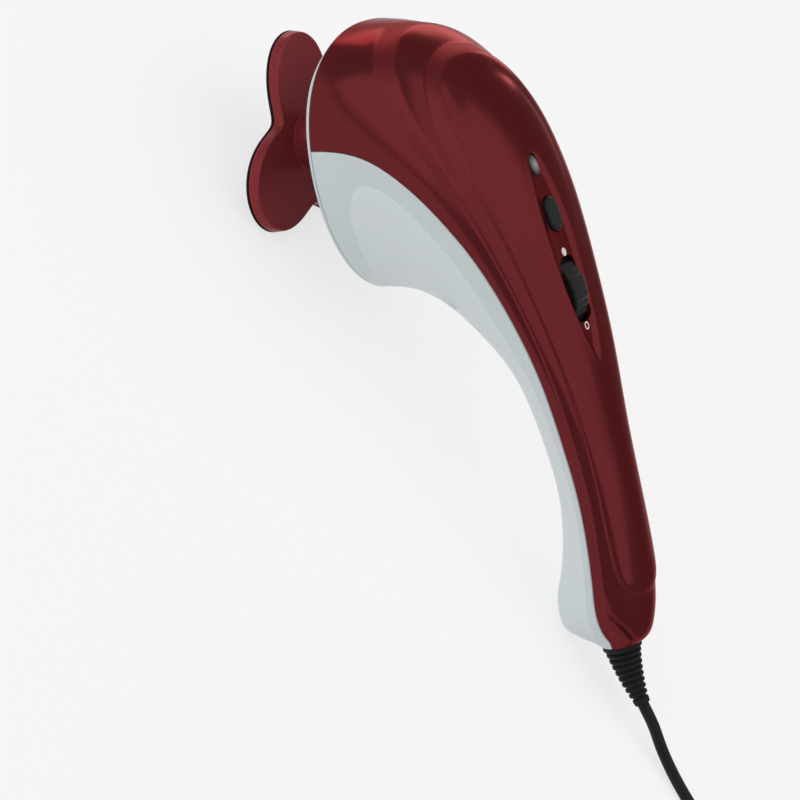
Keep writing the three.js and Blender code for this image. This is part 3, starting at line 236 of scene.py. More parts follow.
# Tail and lead
RELIEF_LENGTH = 31 * MM
RELIEF_TURN = math.radians(15.5)
RELIEF_COLLAR = 4 * MM
RELIEF_COLLAR_RADIUS = 9.3 * MM
RELIEF_CREST = 8.3 * MM
RELIEF_TIP = 4 * MM
RELIEF_GROOVE = 1.3 * MM
RELIEF_FLANGE = 8.8 * MM
RELIEF_FLANGE_ENDS = (-7.2 * MM, -4.7 * MM)
RELIEF_NECK = 6.9 * MM
CORD_RADIUS = 2.8 * MM
CORD_RUN = 11 * MM
FREE_STRETCH = [(24, 6.2), (36, 4.1), (48, 3.1), (62, 2.85), (76, 2.85), (90, 2.85)]
COIL_PLACE = (104 * MM, -45.6 * MM)
COIL_PITCH = 6.05 * MM
COIL_INNER = 21.4 * MM
COIL_TURNS = (4, 3.5)
COIL_TAIL = 27 * MM
PLUG_TAIL = 15 * MM
PLUG_LENGTH = 24 * MM
PLUG_NECK = (4.2 * MM, 5.9 * MM)
PLUG_HALF_SIZE = (8 * MM, 12 * MM)
PLUG_SWELL = 9 * MM
PLUG_RIB = 0.55 * MM
PLUG_RIB_PITCH = 2.5 * MM
PLUG_END_ROUND = 2 * MM
PLUG_END_INSET = 1.2 * MM
PLUG_HOLLOW = 1.1 * MM
PLUG_HOLLOW_REACH = 6 * MM
BLADE_BEVEL = 0.6 * MM
BLADE_HOLE = 3.2 * MM
BLADE_HOLE_PLACE = 3.4 * MM

# Studio: the camera's turn in degrees, then each lamp's place, aim, size, power and tint
CAMERA_TURN = (4.109, 35.796, 54.878)
CAMERA_TARGET = Vector((-5.095 * MM, 0, -11.911 * MM))
CAMERA_LENS = 93.75
CAMERA_SENSOR = 36
CAMERA_REACH = (0.05, 30)
LAMPS = (
    ("front", (-0.8, -1.3, 1.1), (0, 0, 0.05), (3, 2.1), 14.6, (1, 0.99, 0.98)),
    ("top", (0.3, 0.2, 1.5), (0, 0, 0.05), (2.3, 2.3), 10.6, (1, 1, 1)),
    ("strip", (-1.05, 1.15, 0.2), (-0.1, 0, 0.1), (1.6, 0.38), 5.4, (1, 0.98, 0.97)),
)
WORLD_STRENGTH = 0.36
FLOOR_HALF = 3
FLOOR_GLOW = 0.7


def numbered(name, count):
    return [f"{name}_{i + 1}" for i in range(count)]


FINISH_OF_NODE = {
    "steel": [
        "motor_can", "motor_shaft", "cam_bearing", "plunger_shaft", "wheel_axle", *numbered("motor_strap", 2),
        *numbered("board_screw", 2), *numbered("clamp_screw", 2), *numbered("housing_screw", 4),
        *numbered("chassis_screw", 4), *numbered("strap_screw", 4),
    ],
    "nylon": ["drive_chassis", "drive_yoke", "led"],
    "bronze": numbered("guide_bush", 2),
    "brass": numbered("contact_pin", 2),
    "black plastic": ["motor_endcap", "eccentric_cam", "heat_switch", "speed_control", "cord_clamp"],
    "black rubber": ["post_ring"],
    "vinyl": ["inner_lead", "motor_lead"],
    "board": ["control_board"],
}


def length_setting(name, description, value):
    return bpy.props.FloatProperty(name=name, description=description, default=value, unit="LENGTH")


def count_setting(name, description, value, least):
    return bpy.props.IntProperty(name=name, description=description, default=value, min=least)


def colour_setting(name, description, value):
    return bpy.props.FloatVectorProperty(
        name=name, description=description, default=value, size=3, min=0, max=1, subtype="COLOR")


class MassagerSizes(bpy.types.PropertyGroup):
    """Sizes of the dressed massager that can be changed without moving its solids"""

    head_ridge: length_setting("Head ridge", "Height of the ridges on the head", 1.7 * MM)
    handle_ridge: length_setting("Handle ridge", "Height of the ridges on the handle", 0.75 * MM)
    ridge_fade: length_setting("Ridge fade", "Width over which the inner ridge fades", 13 * MM)
    recess_depth: length_setting("Recess depth", "Depth of the controls' recess", 1.2 * MM)
    recess_bevel: length_setting("Recess bevel", "Width of the recess's sloping side", 3.2 * MM)
    grip_height: length_setting("Grip height", "How far the grip pad stands proud", 0.4 * MM)
    seam_gap: length_setting("Seam gap", "Width of the line between the shells", 0.12 * MM)
    top_fillet: length_setting("Top fillet", "Rounding of the maroon shell along the seam", 0.35 * MM)
    bottom_fillet: length_setting("Bottom fillet", "Rounding of the silver shell along the seam", 0.9 * MM)
    rows: count_setting("Rows", "Rows of faces along the body", 310, 60)
    columns: count_setting("Columns", "Columns of faces round the outside of each shell", 270, 40)
    wheel_teeth: count_setting("Wheel teeth", "Teeth round the speed wheel", 32, 8)
    relief_ribs: count_setting("Relief ribs", "Ribs along the bend relief", 9, 3)
    cord_length: length_setting("Cord length", "Length of the lead outside the body", 1.68)


class MassagerColours(bpy.types.PropertyGroup):
    """Colours of the massager and its studio"""

    lacquer: colour_setting("Lacquer", "Maroon lacquer of the shell and the plate", (0.14, 0.02, 0.023))
    silver: colour_setting("Silver", "Silver paint of the bottom shell and the trim ring", (0.61, 0.67, 0.685))
    grip: colour_setting("Grip", "Silver paint of the textured grip pad", (0.75, 0.81, 0.825))
    black: colour_setting("Black", "Black plastic of the controls", (0.006, 0.0066, 0.0072))
    rubber: colour_setting("Rubber", "Black rubber of the pad and the bend relief", (0.011, 0.011, 0.012))
    vinyl: colour_setting("Vinyl", "Jacket of the lead", (0.012, 0.012, 0.013))
    nylon: colour_setting("Nylon", "White nylon of the drive", (0.72, 0.7, 0.64))
    floor: colour_setting("Floor", "Studio floor", (0.93, 0.93, 0.93))


def sizes():
    return bpy.context.scene.massager_sizes


def colours():
    return bpy.context.scene.massager_colours


# Surface of the body

Section = namedtuple("Section", "base up half crown keel")


def spline(rows, share):
    """Centripetal spline through the rows, evenly numbered from 0 to 1."""
    rows = np.asarray(rows, float)
    spot = np.clip(np.atleast_1d(share), 0, 1) * (len(rows) - 1)
    first = np.minimum(spot.astype(int), len(rows) - 2)
    part = (spot - first)[:, None]
    padded = np.vstack([2 * rows[0] - rows[1], rows, 2 * rows[-1] - rows[-2]])
    a, b, c, d = (padded[first + i] for i in range(4))
    before, span, after = (
        np.sqrt(np.maximum(np.linalg.norm(q - p, axis=1), 1e-12))[:, None] for p, q in ((a, b), (b, c), (c, d))
    )
    leave = ((b - a) / before - (c - a) / (before + span) + (c - b) / span) * span
    arrive = ((c - b) / span - (d - b) / (span + after) + (d - c) / after) * span
    square = (3 * (c - b) - 2 * leave - arrive) * part**2
    cube = (2 * (b - c) + leave + arrive) * part**3
    return b + leave * part + square + cube


def bends(rows, spans):
    """How a smooth curve through the rows bends at each of them; it runs out straight at both ends."""
    system = np.eye(len(rows))
    sides = np.zeros(rows.shape)
    for i in range(1, len(rows) - 1):
        before, after = spans[i - 1], spans[i]
        system[i, i - 1:i + 2] = before, 2 * (before + after), after
        sides[i] = 6 * ((rows[i + 1] - rows[i]) / after - (rows[i] - rows[i - 1]) / before)
    return np.linalg.solve(system, sides)


ROWS = STATIONS * (BODY_LENGTH, BODY_HEIGHT, BODY_LENGTH, BODY_HEIGHT, 1, HEAD_WIDTH)
SPANS = np.sqrt(np.linalg.norm(np.diff(ROWS[:, :4], axis=0), axis=1))
BENDS = bends(ROWS, SPANS)


def faired(share):
    """The stations' values at these shares, all on one curve without kinks."""
    spot = np.clip(np.atleast_1d(share), 0, 1) * len(SPANS)
    first = np.minimum(spot.astype(int), len(SPANS) - 1)
    span = SPANS[first][:, None]
    after = (spot - first)[:, None]
    before = 1 - after
    sag = (before**3 - before) * BENDS[first] + (after**3 - after) * BENDS[first + 1]
    return before * ROWS[first] + after * ROWS[first + 1] + sag * span**2 / 6


def section(share):
    """The body's outline planes at these shares of the way along the stations."""
    values = faired(share)
    top, belly, seam_share, width = values[:, 0:2], values[:, 2:4], values[:, 4], values[:, 5]
    up = top - belly
    height = np.linalg.norm(up, axis=1)
    up = up / height[:, None]
    seam = top + (belly - top) * seam_share[:, None]
    flat = np.zeros(len(seam))
    return Section(
        np.stack([seam[:, 0] + BODY_START.x, flat, seam[:, 1] + BODY_START.z], axis=1),
        np.stack([up[:, 0], flat, up[:, 1]], axis=1),
        width / 2,
        seam_share * height,
        (1 - seam_share) * height,
    )


def hull(place, angle, inset=0.0, lift=0.0):
    """Points of the outline: one row per section, one column per angle, which is in radians."""
    angle = np.asarray(angle, float)
    wide = lambda values: values.reshape((-1,) + (1,) * (angle.ndim - 1))
    over = np.sin(angle) >= 0
    bulge = np.where(over, 2 / CROWN_POWER, 2 / KEEL_POWER)
    reach = np.where(over, wide(place.crown), wide(place.keel)) - inset
    across = np.sign(np.cos(angle)) * np.abs(np.cos(angle)) ** bulge * (wide(place.half) - inset)
    rise = np.sign(np.sin(angle)) * np.abs(np.sin(angle)) ** bulge * reach + lift
    columns = (slice(None),) + (None,) * (angle.ndim - 1)
    points = place.base[columns] + place.up[columns] * rise[..., None]
    points[..., 1] = across
    return points


def even_shares(count):
    """Station shares that are evenly spaced along the body."""
    fine = np.linspace(0, 1, 3000)
    place = section(fine)
    middle = hull(place, np.full(len(fine), math.radians(150)))
    steps = np.linalg.norm(np.diff(middle, axis=0), axis=1)
    run = np.concatenate([[0], np.cumsum(steps)])
    return np.interp(np.linspace(0, run[-1], count), run, fine)


def smooth(value):
    value = np.clip(value, 0, 1)
    return value * value * (3 - 2 * value)


def matrix(x, y, z, origin):
    made = Matrix((x, y, z)).transposed().to_4x4()
    made.translation = origin
    return made


def spine(place_share):
    """A frame on the top profile: x towards the tail, z out of the surface."""
    fine = np.linspace(0, 1, 6000)
    profile = STATIONS[:, 0:2] * (BODY_LENGTH, BODY_HEIGHT)
    share = np.interp(place_share * BODY_LENGTH, spline(profile, fine)[:, 0], fine)
    near = spline(profile, [share - 1e-4, share, share + 1e-4])
    along = Vector((near[2][0] - near[0][0], 0, near[2][1] - near[0][1])).normalized()
    origin = Vector((near[1][0], 0, near[1][1])) + BODY_START
    return matrix(along, Vector((0, 1, 0)), Vector((-along.z, 0, along.x)), origin)


RIM = section(0.0)
RIM_UP = Vector(RIM.up[0])
FACE_OUT = RIM_UP.cross(Vector((0, 1, 0)))
RIM_SHIFT = (RIM.crown[0] - RIM.keel[0]) / 2 + POST_OFFSET_SHARE * (RIM.crown[0] + RIM.keel[0])
HEAD = matrix(RIM_UP, Vector((0, 1, 0)), FACE_OUT, Vector(RIM.base[0]) + RIM_UP * RIM_SHIFT)

TAIL_RING = section(1.0)
TAIL_UP = Vector(TAIL_RING.up[0])
TAIL_OUT = Vector((TAIL_UP.z, 0, -TAIL_UP.x))
TAIL_CENTRE = Vector(TAIL_RING.base[0]) + TAIL_UP * ((TAIL_RING.crown[0] - TAIL_RING.keel[0]) / 2)
TAIL = matrix(-TAIL_UP, Vector((0, 1, 0)), TAIL_OUT, TAIL_CENTRE)


# Mesh making


def surface(points, cyclic_columns=False, cyclic_rows=False, fill_ends=False):
    """A bmesh whose grid of faces lies on the rows and columns of points, joined round where cyclic."""
    points = np.asarray(points, float)
    if cyclic_columns:
        points = np.concatenate([points, points[:, :1]], axis=1)
    if cyclic_rows:
        points = np.concatenate([points, points[:1]], axis=0)
    rows, columns = points.shape[:2]
    made = bmesh.new()
    grid = bmesh.ops.create_grid(made, x_segments=columns - 1, y_segments=rows - 1, size=1)
    for vert in grid["verts"]:
        column = round((vert.co.x + 1) / 2 * (columns - 1))
        row = round((vert.co.y + 1) / 2 * (rows - 1))
        vert.co = points[row, column]
    bmesh.ops.remove_doubles(made, verts=grid["verts"], dist=1e-6)
    if fill_ends:
        edges = [edge for edge in made.edges if edge.is_boundary]
        filled = bmesh.ops.holes_fill(made, edges=edges)
        bmesh.ops.triangulate(made, faces=filled["faces"], ngon_method="EAR_CLIP")
    return made


def new_object(name, made):
    """Turns a bmesh into an object of the scene."""
    mesh = bpy.data.meshes.new(name)
    made.to_mesh(mesh)
    made.free()
    item = bpy.data.objects.new(name, mesh)
    bpy.context.scene.collection.objects.link(item)
    return item


def piece(name, made, body, replaced=(), finish=None, sharp=35.0, place=None):
    """Turns a bmesh into a finished object of the massager that rides on a body."""
    if place is not None:
        bmesh.ops.transform(made, matrix=place, verts=made.verts)
    bmesh.ops.dissolve_degenerate(made, edges=made.edges, dist=1e-7)
    bmesh.ops.recalc_face_normals(made, faces=made.faces)
    return dress(new_object(name, made), body, replaced, finish, sharp)


def dress(item, body, replaced=(), finish=None, sharp=35.0):
    for polygon in item.data.polygons:
        polygon.use_smooth = True
    item.data.set_sharp_from_angle(angle=math.radians(sharp))
    if finish is not None:
        item.data.materials.clear()
        item.data.materials.append(finish_of(finish))
    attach(item, body)
    if replaced:
        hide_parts(*replaced)
    return item


def carve(item, cutters):
    """Cuts the cutters' volume out of a piece and removes the cutters."""
    for cutter in cutters:
        modifier = item.modifiers.new("cut", "BOOLEAN")
        modifier.object = cutter
        modifier.operation = "DIFFERENCE"
        modifier.solver = "EXACT"
    view = bpy.context.evaluated_depsgraph_get()
    carved = bpy.data.meshes.new_from_object(item.evaluated_get(view), depsgraph=view)
    old = item.data
    item.modifiers.clear()
    item.data = carved
    bpy.data.meshes.remove(old)
    for cutter in cutters:
        mesh = cutter.data
        bpy.data.objects.remove(cutter)
        bpy.data.meshes.remove(mesh)


def outline_stadium(length, width, count=48):
    """A rectangle along x with fully round ends, as a ring of points."""
    radius = width / 2
    straight = length / 2 - radius
    turn = np.linspace(0, 2 * math.pi, count, endpoint=False) + math.pi / count
    x = radius * np.cos(turn) + straight * np.sign(np.cos(turn))
    return np.stack([x, radius * np.sin(turn), np.zeros(count)], axis=1)


def outline_slot(length, width, corner, count=12):
    """A rectangle along x with round corners, as a ring of points."""
    ring = []
    for quarter, (sx, sy) in enumerate(((1, 1), (-1, 1), (-1, -1), (1, -1))):
        turn = np.linspace(quarter, quarter + 1, count) * math.pi / 2
        x = sx * (length / 2 - corner) + corner * np.cos(turn)
        y = sy * (width / 2 - corner) + corner * np.sin(turn)
        ring.append(np.stack([x, y, np.zeros(count)], axis=1))
    return np.concatenate(ring)


def column(outline, low, high, place):
    """A cutter with straight sides through an outline, from one height to another."""
    rows = np.stack([outline + (0, 0, low), outline + (0, 0, high)])
    made = surface(rows, cyclic_columns=True, fill_ends=True)
    bmesh.ops.transform(made, matrix=place, verts=made.verts)
    bmesh.ops.recalc_face_normals(made, faces=made.faces)
    return new_object("cutter", made)


def spun(profile, sides=64):
    """A closed profile of radius and height, spun round the z axis."""
    made = bmesh.new()
    verts = [made.verts.new((r, 0, z)) for r, z in profile]
    edges = [made.edges.new((verts[i], verts[(i + 1) % len(verts)])) for i in range(len(verts))]
    bmesh.ops.spin(
        made, geom=verts + edges, cent=(0, 0, 0), axis=(0, 0, 1), angle=2 * math.pi, steps=sides,
        use_merge=True)
    bmesh.ops.remove_doubles(made, verts=made.verts, dist=1e-7)
    bmesh.ops.recalc_face_normals(made, faces=made.faces)
    return made


def rounded(points, radius, steps=4):
    """A closed profile with its corners rounded; radius is one number or one per corner."""
    corners = np.asarray(points, float)
    radii = np.broadcast_to(radius, len(corners))
    ring = []
    for i, corner in enumerate(corners):
        before = corners[i - 1] - corner
        after = corners[(i + 1) % len(corners)] - corner
        reach = min(radii[i], np.linalg.norm(before) / 2, np.linalg.norm(after) / 2)
        if reach <= 0:
            ring.append(corner)
            continue
        start = corner + before / np.linalg.norm(before) * reach
        end = corner + after / np.linalg.norm(after) * reach
        for t in np.linspace(0, 1, steps):
            ring.append((1 - t) ** 2 * start + 2 * t * (1 - t) * corner + t * t * end)
    return np.array(ring)


# Lines on the shells


class Line:
    """A line on the body, mirrored across the middle, that tells how far inside it a point is."""

    def __init__(self, half):
        half = np.array(half)
        middle = half[0][1]
        mirrored = half[::-1].copy()
        mirrored[:, 1] = 2 * middle - mirrored[:, 1]
        whole = np.concatenate([mirrored[:-1], half])
        path = spline(whole * (1, 1 / 90), np.linspace(0, 1, LINE_POINTS))
        place = section(path[:, 0])
        angle = np.radians(path[:, 1] * 90)
        self.points = hull(place, angle)
        along = np.gradient(self.points, axis=0)
        self.along = along / np.linalg.norm(along, axis=1)[:, None]
        step = 1e-4
        lengthwise = hull(section(path[:, 0] + step), angle) - hull(section(path[:, 0] - step), angle)
        crosswise = hull(place, angle + step) - hull(place, angle - step)
        normal = np.cross(lengthwise, crosswise)
        normal *= np.sign((normal * (self.points - place.base)).sum(axis=1))[:, None]
        self.normal = normal / np.linalg.norm(normal, axis=1)[:, None]
        self.inward = np.cross(self.normal, self.along)
        self.tree = KDTree(len(self.points))
        for i, point in enumerate(self.points):
            self.tree.insert(point, i)
        self.tree.balance()

    def inside(self, points):
        """Distance inside the line for each point, negative outside it; near the line, height doesn't count."""
        flat = points.reshape(-1, 3)
        nearest = np.array([self.tree.find(point)[1] for point in flat])
        offset = flat - self.points[nearest]
        along, normal = self.along[nearest], self.normal[nearest]
        near = 1 - smooth(np.linalg.norm(offset, axis=1) / NEAR_LINE - 1)
        offset -= along * (offset * along).sum(axis=1)[:, None]
        offset -= normal * (near * (offset * normal).sum(axis=1))[:, None]
        side = np.sign((offset * self.inward[nearest]).sum(axis=1))
        return (side * np.linalg.norm(offset, axis=1)).reshape(points.shape[:2])


def softened(field, passes):
    """A field of heights with its creases eased over about one face a pass."""
    for _ in range(passes):
        padded = np.pad(field, 1, mode="edge")
        field = (
            4 * field + padded[:-2, 1:-1] + padded[2:, 1:-1] + padded[1:-1, :-2] + padded[1:-1, 2:]
        ) / 8
    return field


def band_distances(points):
    """How far inside the four edges of the two bands the points are."""
    edges = OUTER_BAND_START, OUTER_BAND_END, INNER_BAND_START, INNER_BAND_END
    return [Line(half).inside(points) for half in edges]


def lower_of(first, second, round_over=0.3):
    """The lower of two slopes, with the crest where they meet rounded over."""
    share = np.clip(0.5 + (second - first) / (2 * round_over), 0, 1)
    return second + (first - second) * share - round_over * share * (1 - share)


def ridges(points, shares):
    """Height of the two bands that run over the head and down the handle."""
    size = sizes()
    (drop, drop_length), (end, end_length) = RIDGE_DROP, RIDGE_END
    extra = (size.head_ridge - size.handle_ridge) * (1 - smooth((shares - drop) / drop_length))
    height = ((size.handle_ridge + extra) * (1 - smooth((shares - end) / end_length)))[:, None]
    outer_start, outer_end, inner_start, inner_end = band_distances(points)
    small = 1e-6
    climb_outer = outer_start / np.maximum(outer_start - outer_end, small)
    fall_outer = -inner_start / np.maximum(outer_end - inner_start, small)
    climb_inner = inner_start / np.maximum(inner_start - inner_end, small)
    fall_inner = 1 - smooth(inner_end / size.ridge_fade) + np.clip(-inner_end / size.ridge_fade, 0, 1)
    outer = lower_of(climb_outer, fall_outer)
    inner = lower_of(climb_inner, fall_inner)
    share = np.where(inner_start <= 0, outer, inner)
    return height * np.clip(share, 0, 1)


def recess(points):
    size = sizes()
    inside = Line(RECESS_EDGE).inside(points)
    inside = np.where(np.abs(inside) > RECESS_REACH, -RECESS_REACH, inside)
    share, place, half_width = RECESS_LIP
    lip = share * size.recess_depth * np.clip(1 - np.abs(inside + place) / half_width, 0, 1)
    return lip - size.recess_depth * smooth(inside / size.recess_bevel)


def shell_points(top):
    """Rows of points round one shell: outside, along one seam edge, inside and back."""
    size = sizes()
    turn = 1 if top else -1
    shares = even_shares(size.rows + 1)
    place = section(shares)
    fillet = size.top_fillet if top else size.bottom_fillet
    reach = place.crown if top else place.keel
    bulge = 2 / (CROWN_POWER if top else KEEL_POWER)
    first = np.arcsin(np.clip(fillet / reach, 0, 1) ** (1 / bulge))[:, None]
    even = np.linspace(0, 1, size.columns)
    dense = even - SEAM_CROWDING * np.sin(2 * math.pi * even) / (2 * math.pi)
    angles = first + (math.pi - 2 * first) * dense[None, :]
    half_gap = turn * size.seam_gap / 2
    outside = hull(place, turn * angles, lift=half_gap * np.cos(angles) ** 2)
    normal = np.cross(np.gradient(outside, axis=0), np.gradient(outside, axis=1))
    normal /= np.maximum(np.linalg.norm(normal, axis=2), 1e-12)[..., None]
    outward = (normal * (outside - place.base[:, None])).sum(axis=2)
    normal *= np.sign(outward)[..., None]
    if top:
        height = ridges(outside, shares) + recess(outside)
    else:
        grip = Line(GRIP_EDGE).inside(outside)
        grip = grip if grip[len(grip) // 2, size.columns // 2] > 0 else -grip
        height = size.grip_height * smooth(0.5 + grip / GRIP_SLOPE) * smooth(outside[..., 2] / GRIP_FADE)
    outside = outside + normal * softened(height, 3)[..., None]
    quarter = np.linspace(0, math.pi / 2, 4)[1:]
    edge_inset = fillet * (1 - np.cos(quarter))
    edge_lift = half_gap + turn * fillet * (1 - np.sin(quarter))
    rows = len(shares)

    def edge(angle, order):
        across = np.full((rows, 3), angle)
        return hull(place, across, inset=edge_inset[order][None, :], lift=edge_lift[order][None, :])

    inner_angles = np.broadcast_to(turn * np.linspace(math.pi, 0, INNER_COLUMNS), (rows, INNER_COLUMNS))
    inside = hull(place, inner_angles, inset=WALL, lift=half_gap)
    near_edge = edge(turn * math.pi, [0, 1, 2])
    far_edge = edge(0.0, [2, 1, 0])
    return np.concatenate([outside, near_edge, inside, far_edge], axis=1)


def spots_of(item):
    """The places of a piece's vertices, as a grid of one column."""
    spots = np.zeros(len(item.data.vertices) * 3)
    item.data.vertices.foreach_get("co", spots)
    return spots.reshape(-1, 1, 3)


def with_number(item, name, values):
    """Stores one number per vertex for the finish to read."""
    layer = item.data.attributes.new(name, "FLOAT", "POINT")
    layer.data.foreach_set("value", np.asarray(values, np.float32))


# Finishes


class Value:
    """A node's output socket that can be used in sums; each sum adds its Math node."""

    def __init__(self, finish, socket):
        self.finish = finish
        self.socket = socket

    def _math(self, operation, first, second):
        return self.finish.node("ShaderNodeMath", {"operation": operation}, {0: first, 1: second})

    def __add__(self, other):
        return self._math("ADD", self, other)

    __radd__ = __add__

    def __sub__(self, other):
        return self._math("SUBTRACT", self, other)

    def __rsub__(self, other):
        return self._math("SUBTRACT", other, self)

    def __mul__(self, other):
        return self._math("MULTIPLY", self, other)

    __rmul__ = __mul__

    def __truediv__(self, other):
        return self._math("DIVIDE", self, other)

    def clipped(self):
        return self.finish.node("ShaderNodeClamp", {}, {0: self})


class Finish:
    """A procedural material on object coordinates."""

    def __init__(self, name, **constants):
        self.material = bpy.data.materials.new(name)
        self.material.use_nodes = True
        self.tree = self.material.node_tree
        self.shader = self.tree.nodes["Principled BSDF"]
        self.coordinates = None
        for socket, value in constants.items():
            self.set(socket.replace("_", " "), value)

    def node(self, kind, settings, values, output=0):
        """Adds a node: its settings first, then the values or links of its sockets."""
        made = self.tree.nodes.new(kind)
        for name, value in settings.items():
            setattr(made, name, value)
        for socket, value in values.items():
            self.join(made.inputs[socket], value)
        return Value(self, made.outputs[output])

    def join(self, socket, value):
        if isinstance(value, Value):
            self.tree.links.new(value.socket, socket)
        elif socket.type == "RGBA" and len(value) == 3:
            socket.default_value = (*value, 1)
        else:
            socket.default_value = value

    def set(self, socket, value):
        self.join(self.shader.inputs[socket], value)

    def here(self):
        if self.coordinates is None:
            self.coordinates = self.node("ShaderNodeTexCoord", {}, {}, "Object")
        return self.coordinates

    def noise(self, scale, detail=2.0, roughness=0.5, stretch=None):
        where = self.here()
        if stretch is not None:
            where = self.node("ShaderNodeMapping", {}, {"Vector": where, "Scale": stretch})
        values = {"Vector": where, "Scale": scale, "Detail": detail, "Roughness": roughness}
        return self.node("ShaderNodeTexNoise", {}, values)

    def cells(self, scale, output="Distance"):
        return self.node("ShaderNodeTexVoronoi", {}, {"Vector": self.here(), "Scale": scale}, output)

    def blend(self, share, first, second):
        """A colour between two others; the numbers are the Mix node's factor, colours and colour result."""
        return self.node("ShaderNodeMix", {"data_type": "RGBA"}, {0: share, 6: first, 7: second}, 2)

    def bump(self, height, distance, strength=1.0):
        values = {"Height": height, "Distance": distance, "Strength": strength}
        self.set("Normal", self.node("ShaderNodeBump", {}, values))

    def within(self, name, width):
        """How far inside an edge a point is, from 0 to 1 over a width, from the distances kept on the mesh."""
        inside = self.node("ShaderNodeAttribute", {"attribute_name": name}, {}, "Fac")
        return (0.5 + inside / width).clipped()


def shade(base, factor):
    return tuple(min(1.0, part * factor) for part in base)


def lacquer(name, metallic, light=1.0):
    """Metallic flake lacquer, glossy, with satin on the bands; a light factor above 1 multiplies the whole base
    colour to make it lighter, which is painted light.
    """
    base = shade(tuple(colours().lacquer), light)
    made = Finish(name, Metallic=metallic, Specular_IOR_Level=0.2, Specular_Tint=(0.65, 0.26, 0.26))
    band = made.within("band", BAND_SOFTNESS)
    flakes = made.cells(3400, "Color")
    flake = made.node("ShaderNodeSeparateColor", {}, {0: flakes})
    sparkle = (flake - 0.7).clipped() * (0.4 + 0.8 * band)
    cloud = made.noise(26, 3)
    ground = made.blend(cloud, shade(base, 0.9), shade(base, 1.1))
    satin = made.blend(band, ground, shade(base, 1.1))
    made.set("Base Color", made.blend(sparkle, satin, shade(base, 2.6)))
    made.set("Roughness", 0.17 + 0.2 * band + 0.05 * made.noise(900, 2))
    made.bump(made.noise(1400, 2) * (0.25 + band), 0.00002, 0.35)
    return made.material


def silver():
    base, grip = tuple(colours().silver), tuple(colours().grip)
    made = Finish("silver paint", Coat_Weight=0.25, Coat_Roughness=0.25)
    share = made.within("grip", GRIP_SOFTNESS)
    fine = made.noise(2300, 2)
    cloud = made.noise(40, 2)
    paint = made.blend(cloud, shade(base, 0.97), shade(base, 1.03))
    pad = made.blend(fine, shade(grip, 0.9), shade(grip, 1.08))
    made.set("Base Color", made.blend(share, paint, pad))
    made.set("Metallic", 0.45 - 0.25 * share)
    made.set("Roughness", 0.36 + 0.2 * share + 0.05 * fine)
    grain = made.cells(2000)
    made.bump(grain * share + 0.12 * fine, 0.00012, 0.5)
    return made.material


def moulded(name, base, roughness, grain, depth, coat=0.0):
    """A moulded plastic or rubber with a fine grain and faint variation."""
    made = Finish(name, Coat_Weight=coat, Coat_Roughness=0.2, Specular_IOR_Level=0.16)
    cloud = made.noise(70, 3)
    fine = made.noise(grain, 3)
    made.set("Base Color", made.blend(cloud, shade(base, 0.8), shade(base, 1.25)))
    made.set("Roughness", roughness + 0.12 * fine)
    made.bump(fine, depth, 0.6)
    return made.material


def metal(name, base, roughness, stretch):
    """Machined metal with marks along one way."""
    made = Finish(name, Metallic=1.0)
    marks = made.noise(500, 3, stretch=stretch)
    made.set("Base Color", made.blend(marks, shade(base, 0.85), shade(base, 1.1)))
    made.set("Roughness", roughness + 0.15 * marks)
    made.bump(marks, 0.00002, 0.4)
    return made.material


def circuit_board():
    made = Finish("circuit board", Coat_Weight=0.3)
    tracks = made.cells(260)
    line = (0.12 - tracks).clipped() * 8
    made.set("Base Color", made.blend(line, (0.012, 0.1, 0.04), (0.05, 0.24, 0.1)))
    made.set("Roughness", 0.4 + 0.1 * made.noise(700))
    made.bump(line, 0.00003)
    return made.material


def lens_finish():
    made = Finish("smoked lens", Coat_Weight=0.25, Coat_Roughness=0.1, Specular_IOR_Level=0.2)
    centre = spine(LENS_SHARE).translation
    away = made.node("ShaderNodeVectorMath", {"operation": "DISTANCE"}, {0: made.here(), 1: centre}, "Value")
    # Painted glow: the base colour turns from near-black to grey towards the lens's centre, standing in for
    # light in the lens.
    glow = (1 - away / LENS_PAINTED_GLOW_REACH).clipped() + 0.15 * made.noise(900, 2)
    made.set("Base Color", made.blend(glow.clipped(), (0.008, 0.009, 0.0095), (0.3, 0.32, 0.32)))
    made.set("Roughness", 0.15 + 0.1 * glow)
    return made.material


def print_finish():
    made = Finish("white print")
    fine = made.noise(1500)
    made.set("Base Color", made.blend(fine, (0.72, 0.69, 0.68), (0.85, 0.82, 0.81)))
    made.set("Roughness", 0.45 + 0.1 * fine)
    return made.material


def floor_finish():
    base = tuple(colours().floor)
    made = Finish("studio floor", Specular_IOR_Level=0.15)
    cloud = made.noise(3, 2)
    made.set("Base Color", made.blend(cloud, shade(base, 0.99), shade(base, 1.01)))
    made.set("Roughness", 0.75 + 0.1 * cloud)
    rays = "Camera", "Glossy", "Transmission"
    seen = sum(made.node("ShaderNodeLightPath", {}, {}, f"Is {ray} Ray") for ray in rays)
    glow = made.node("ShaderNodeEmission", {}, {"Color": (1, 1, 1), "Strength": 1.0})
    paint = Value(made, made.shader.outputs["BSDF"])
    shown = made.node("ShaderNodeMixShader", {}, {0: seen.clipped() * FLOOR_GLOW, 1: paint, 2: glow})
    made.join(made.tree.nodes["Material Output"].inputs["Surface"], shown)
    return made.material


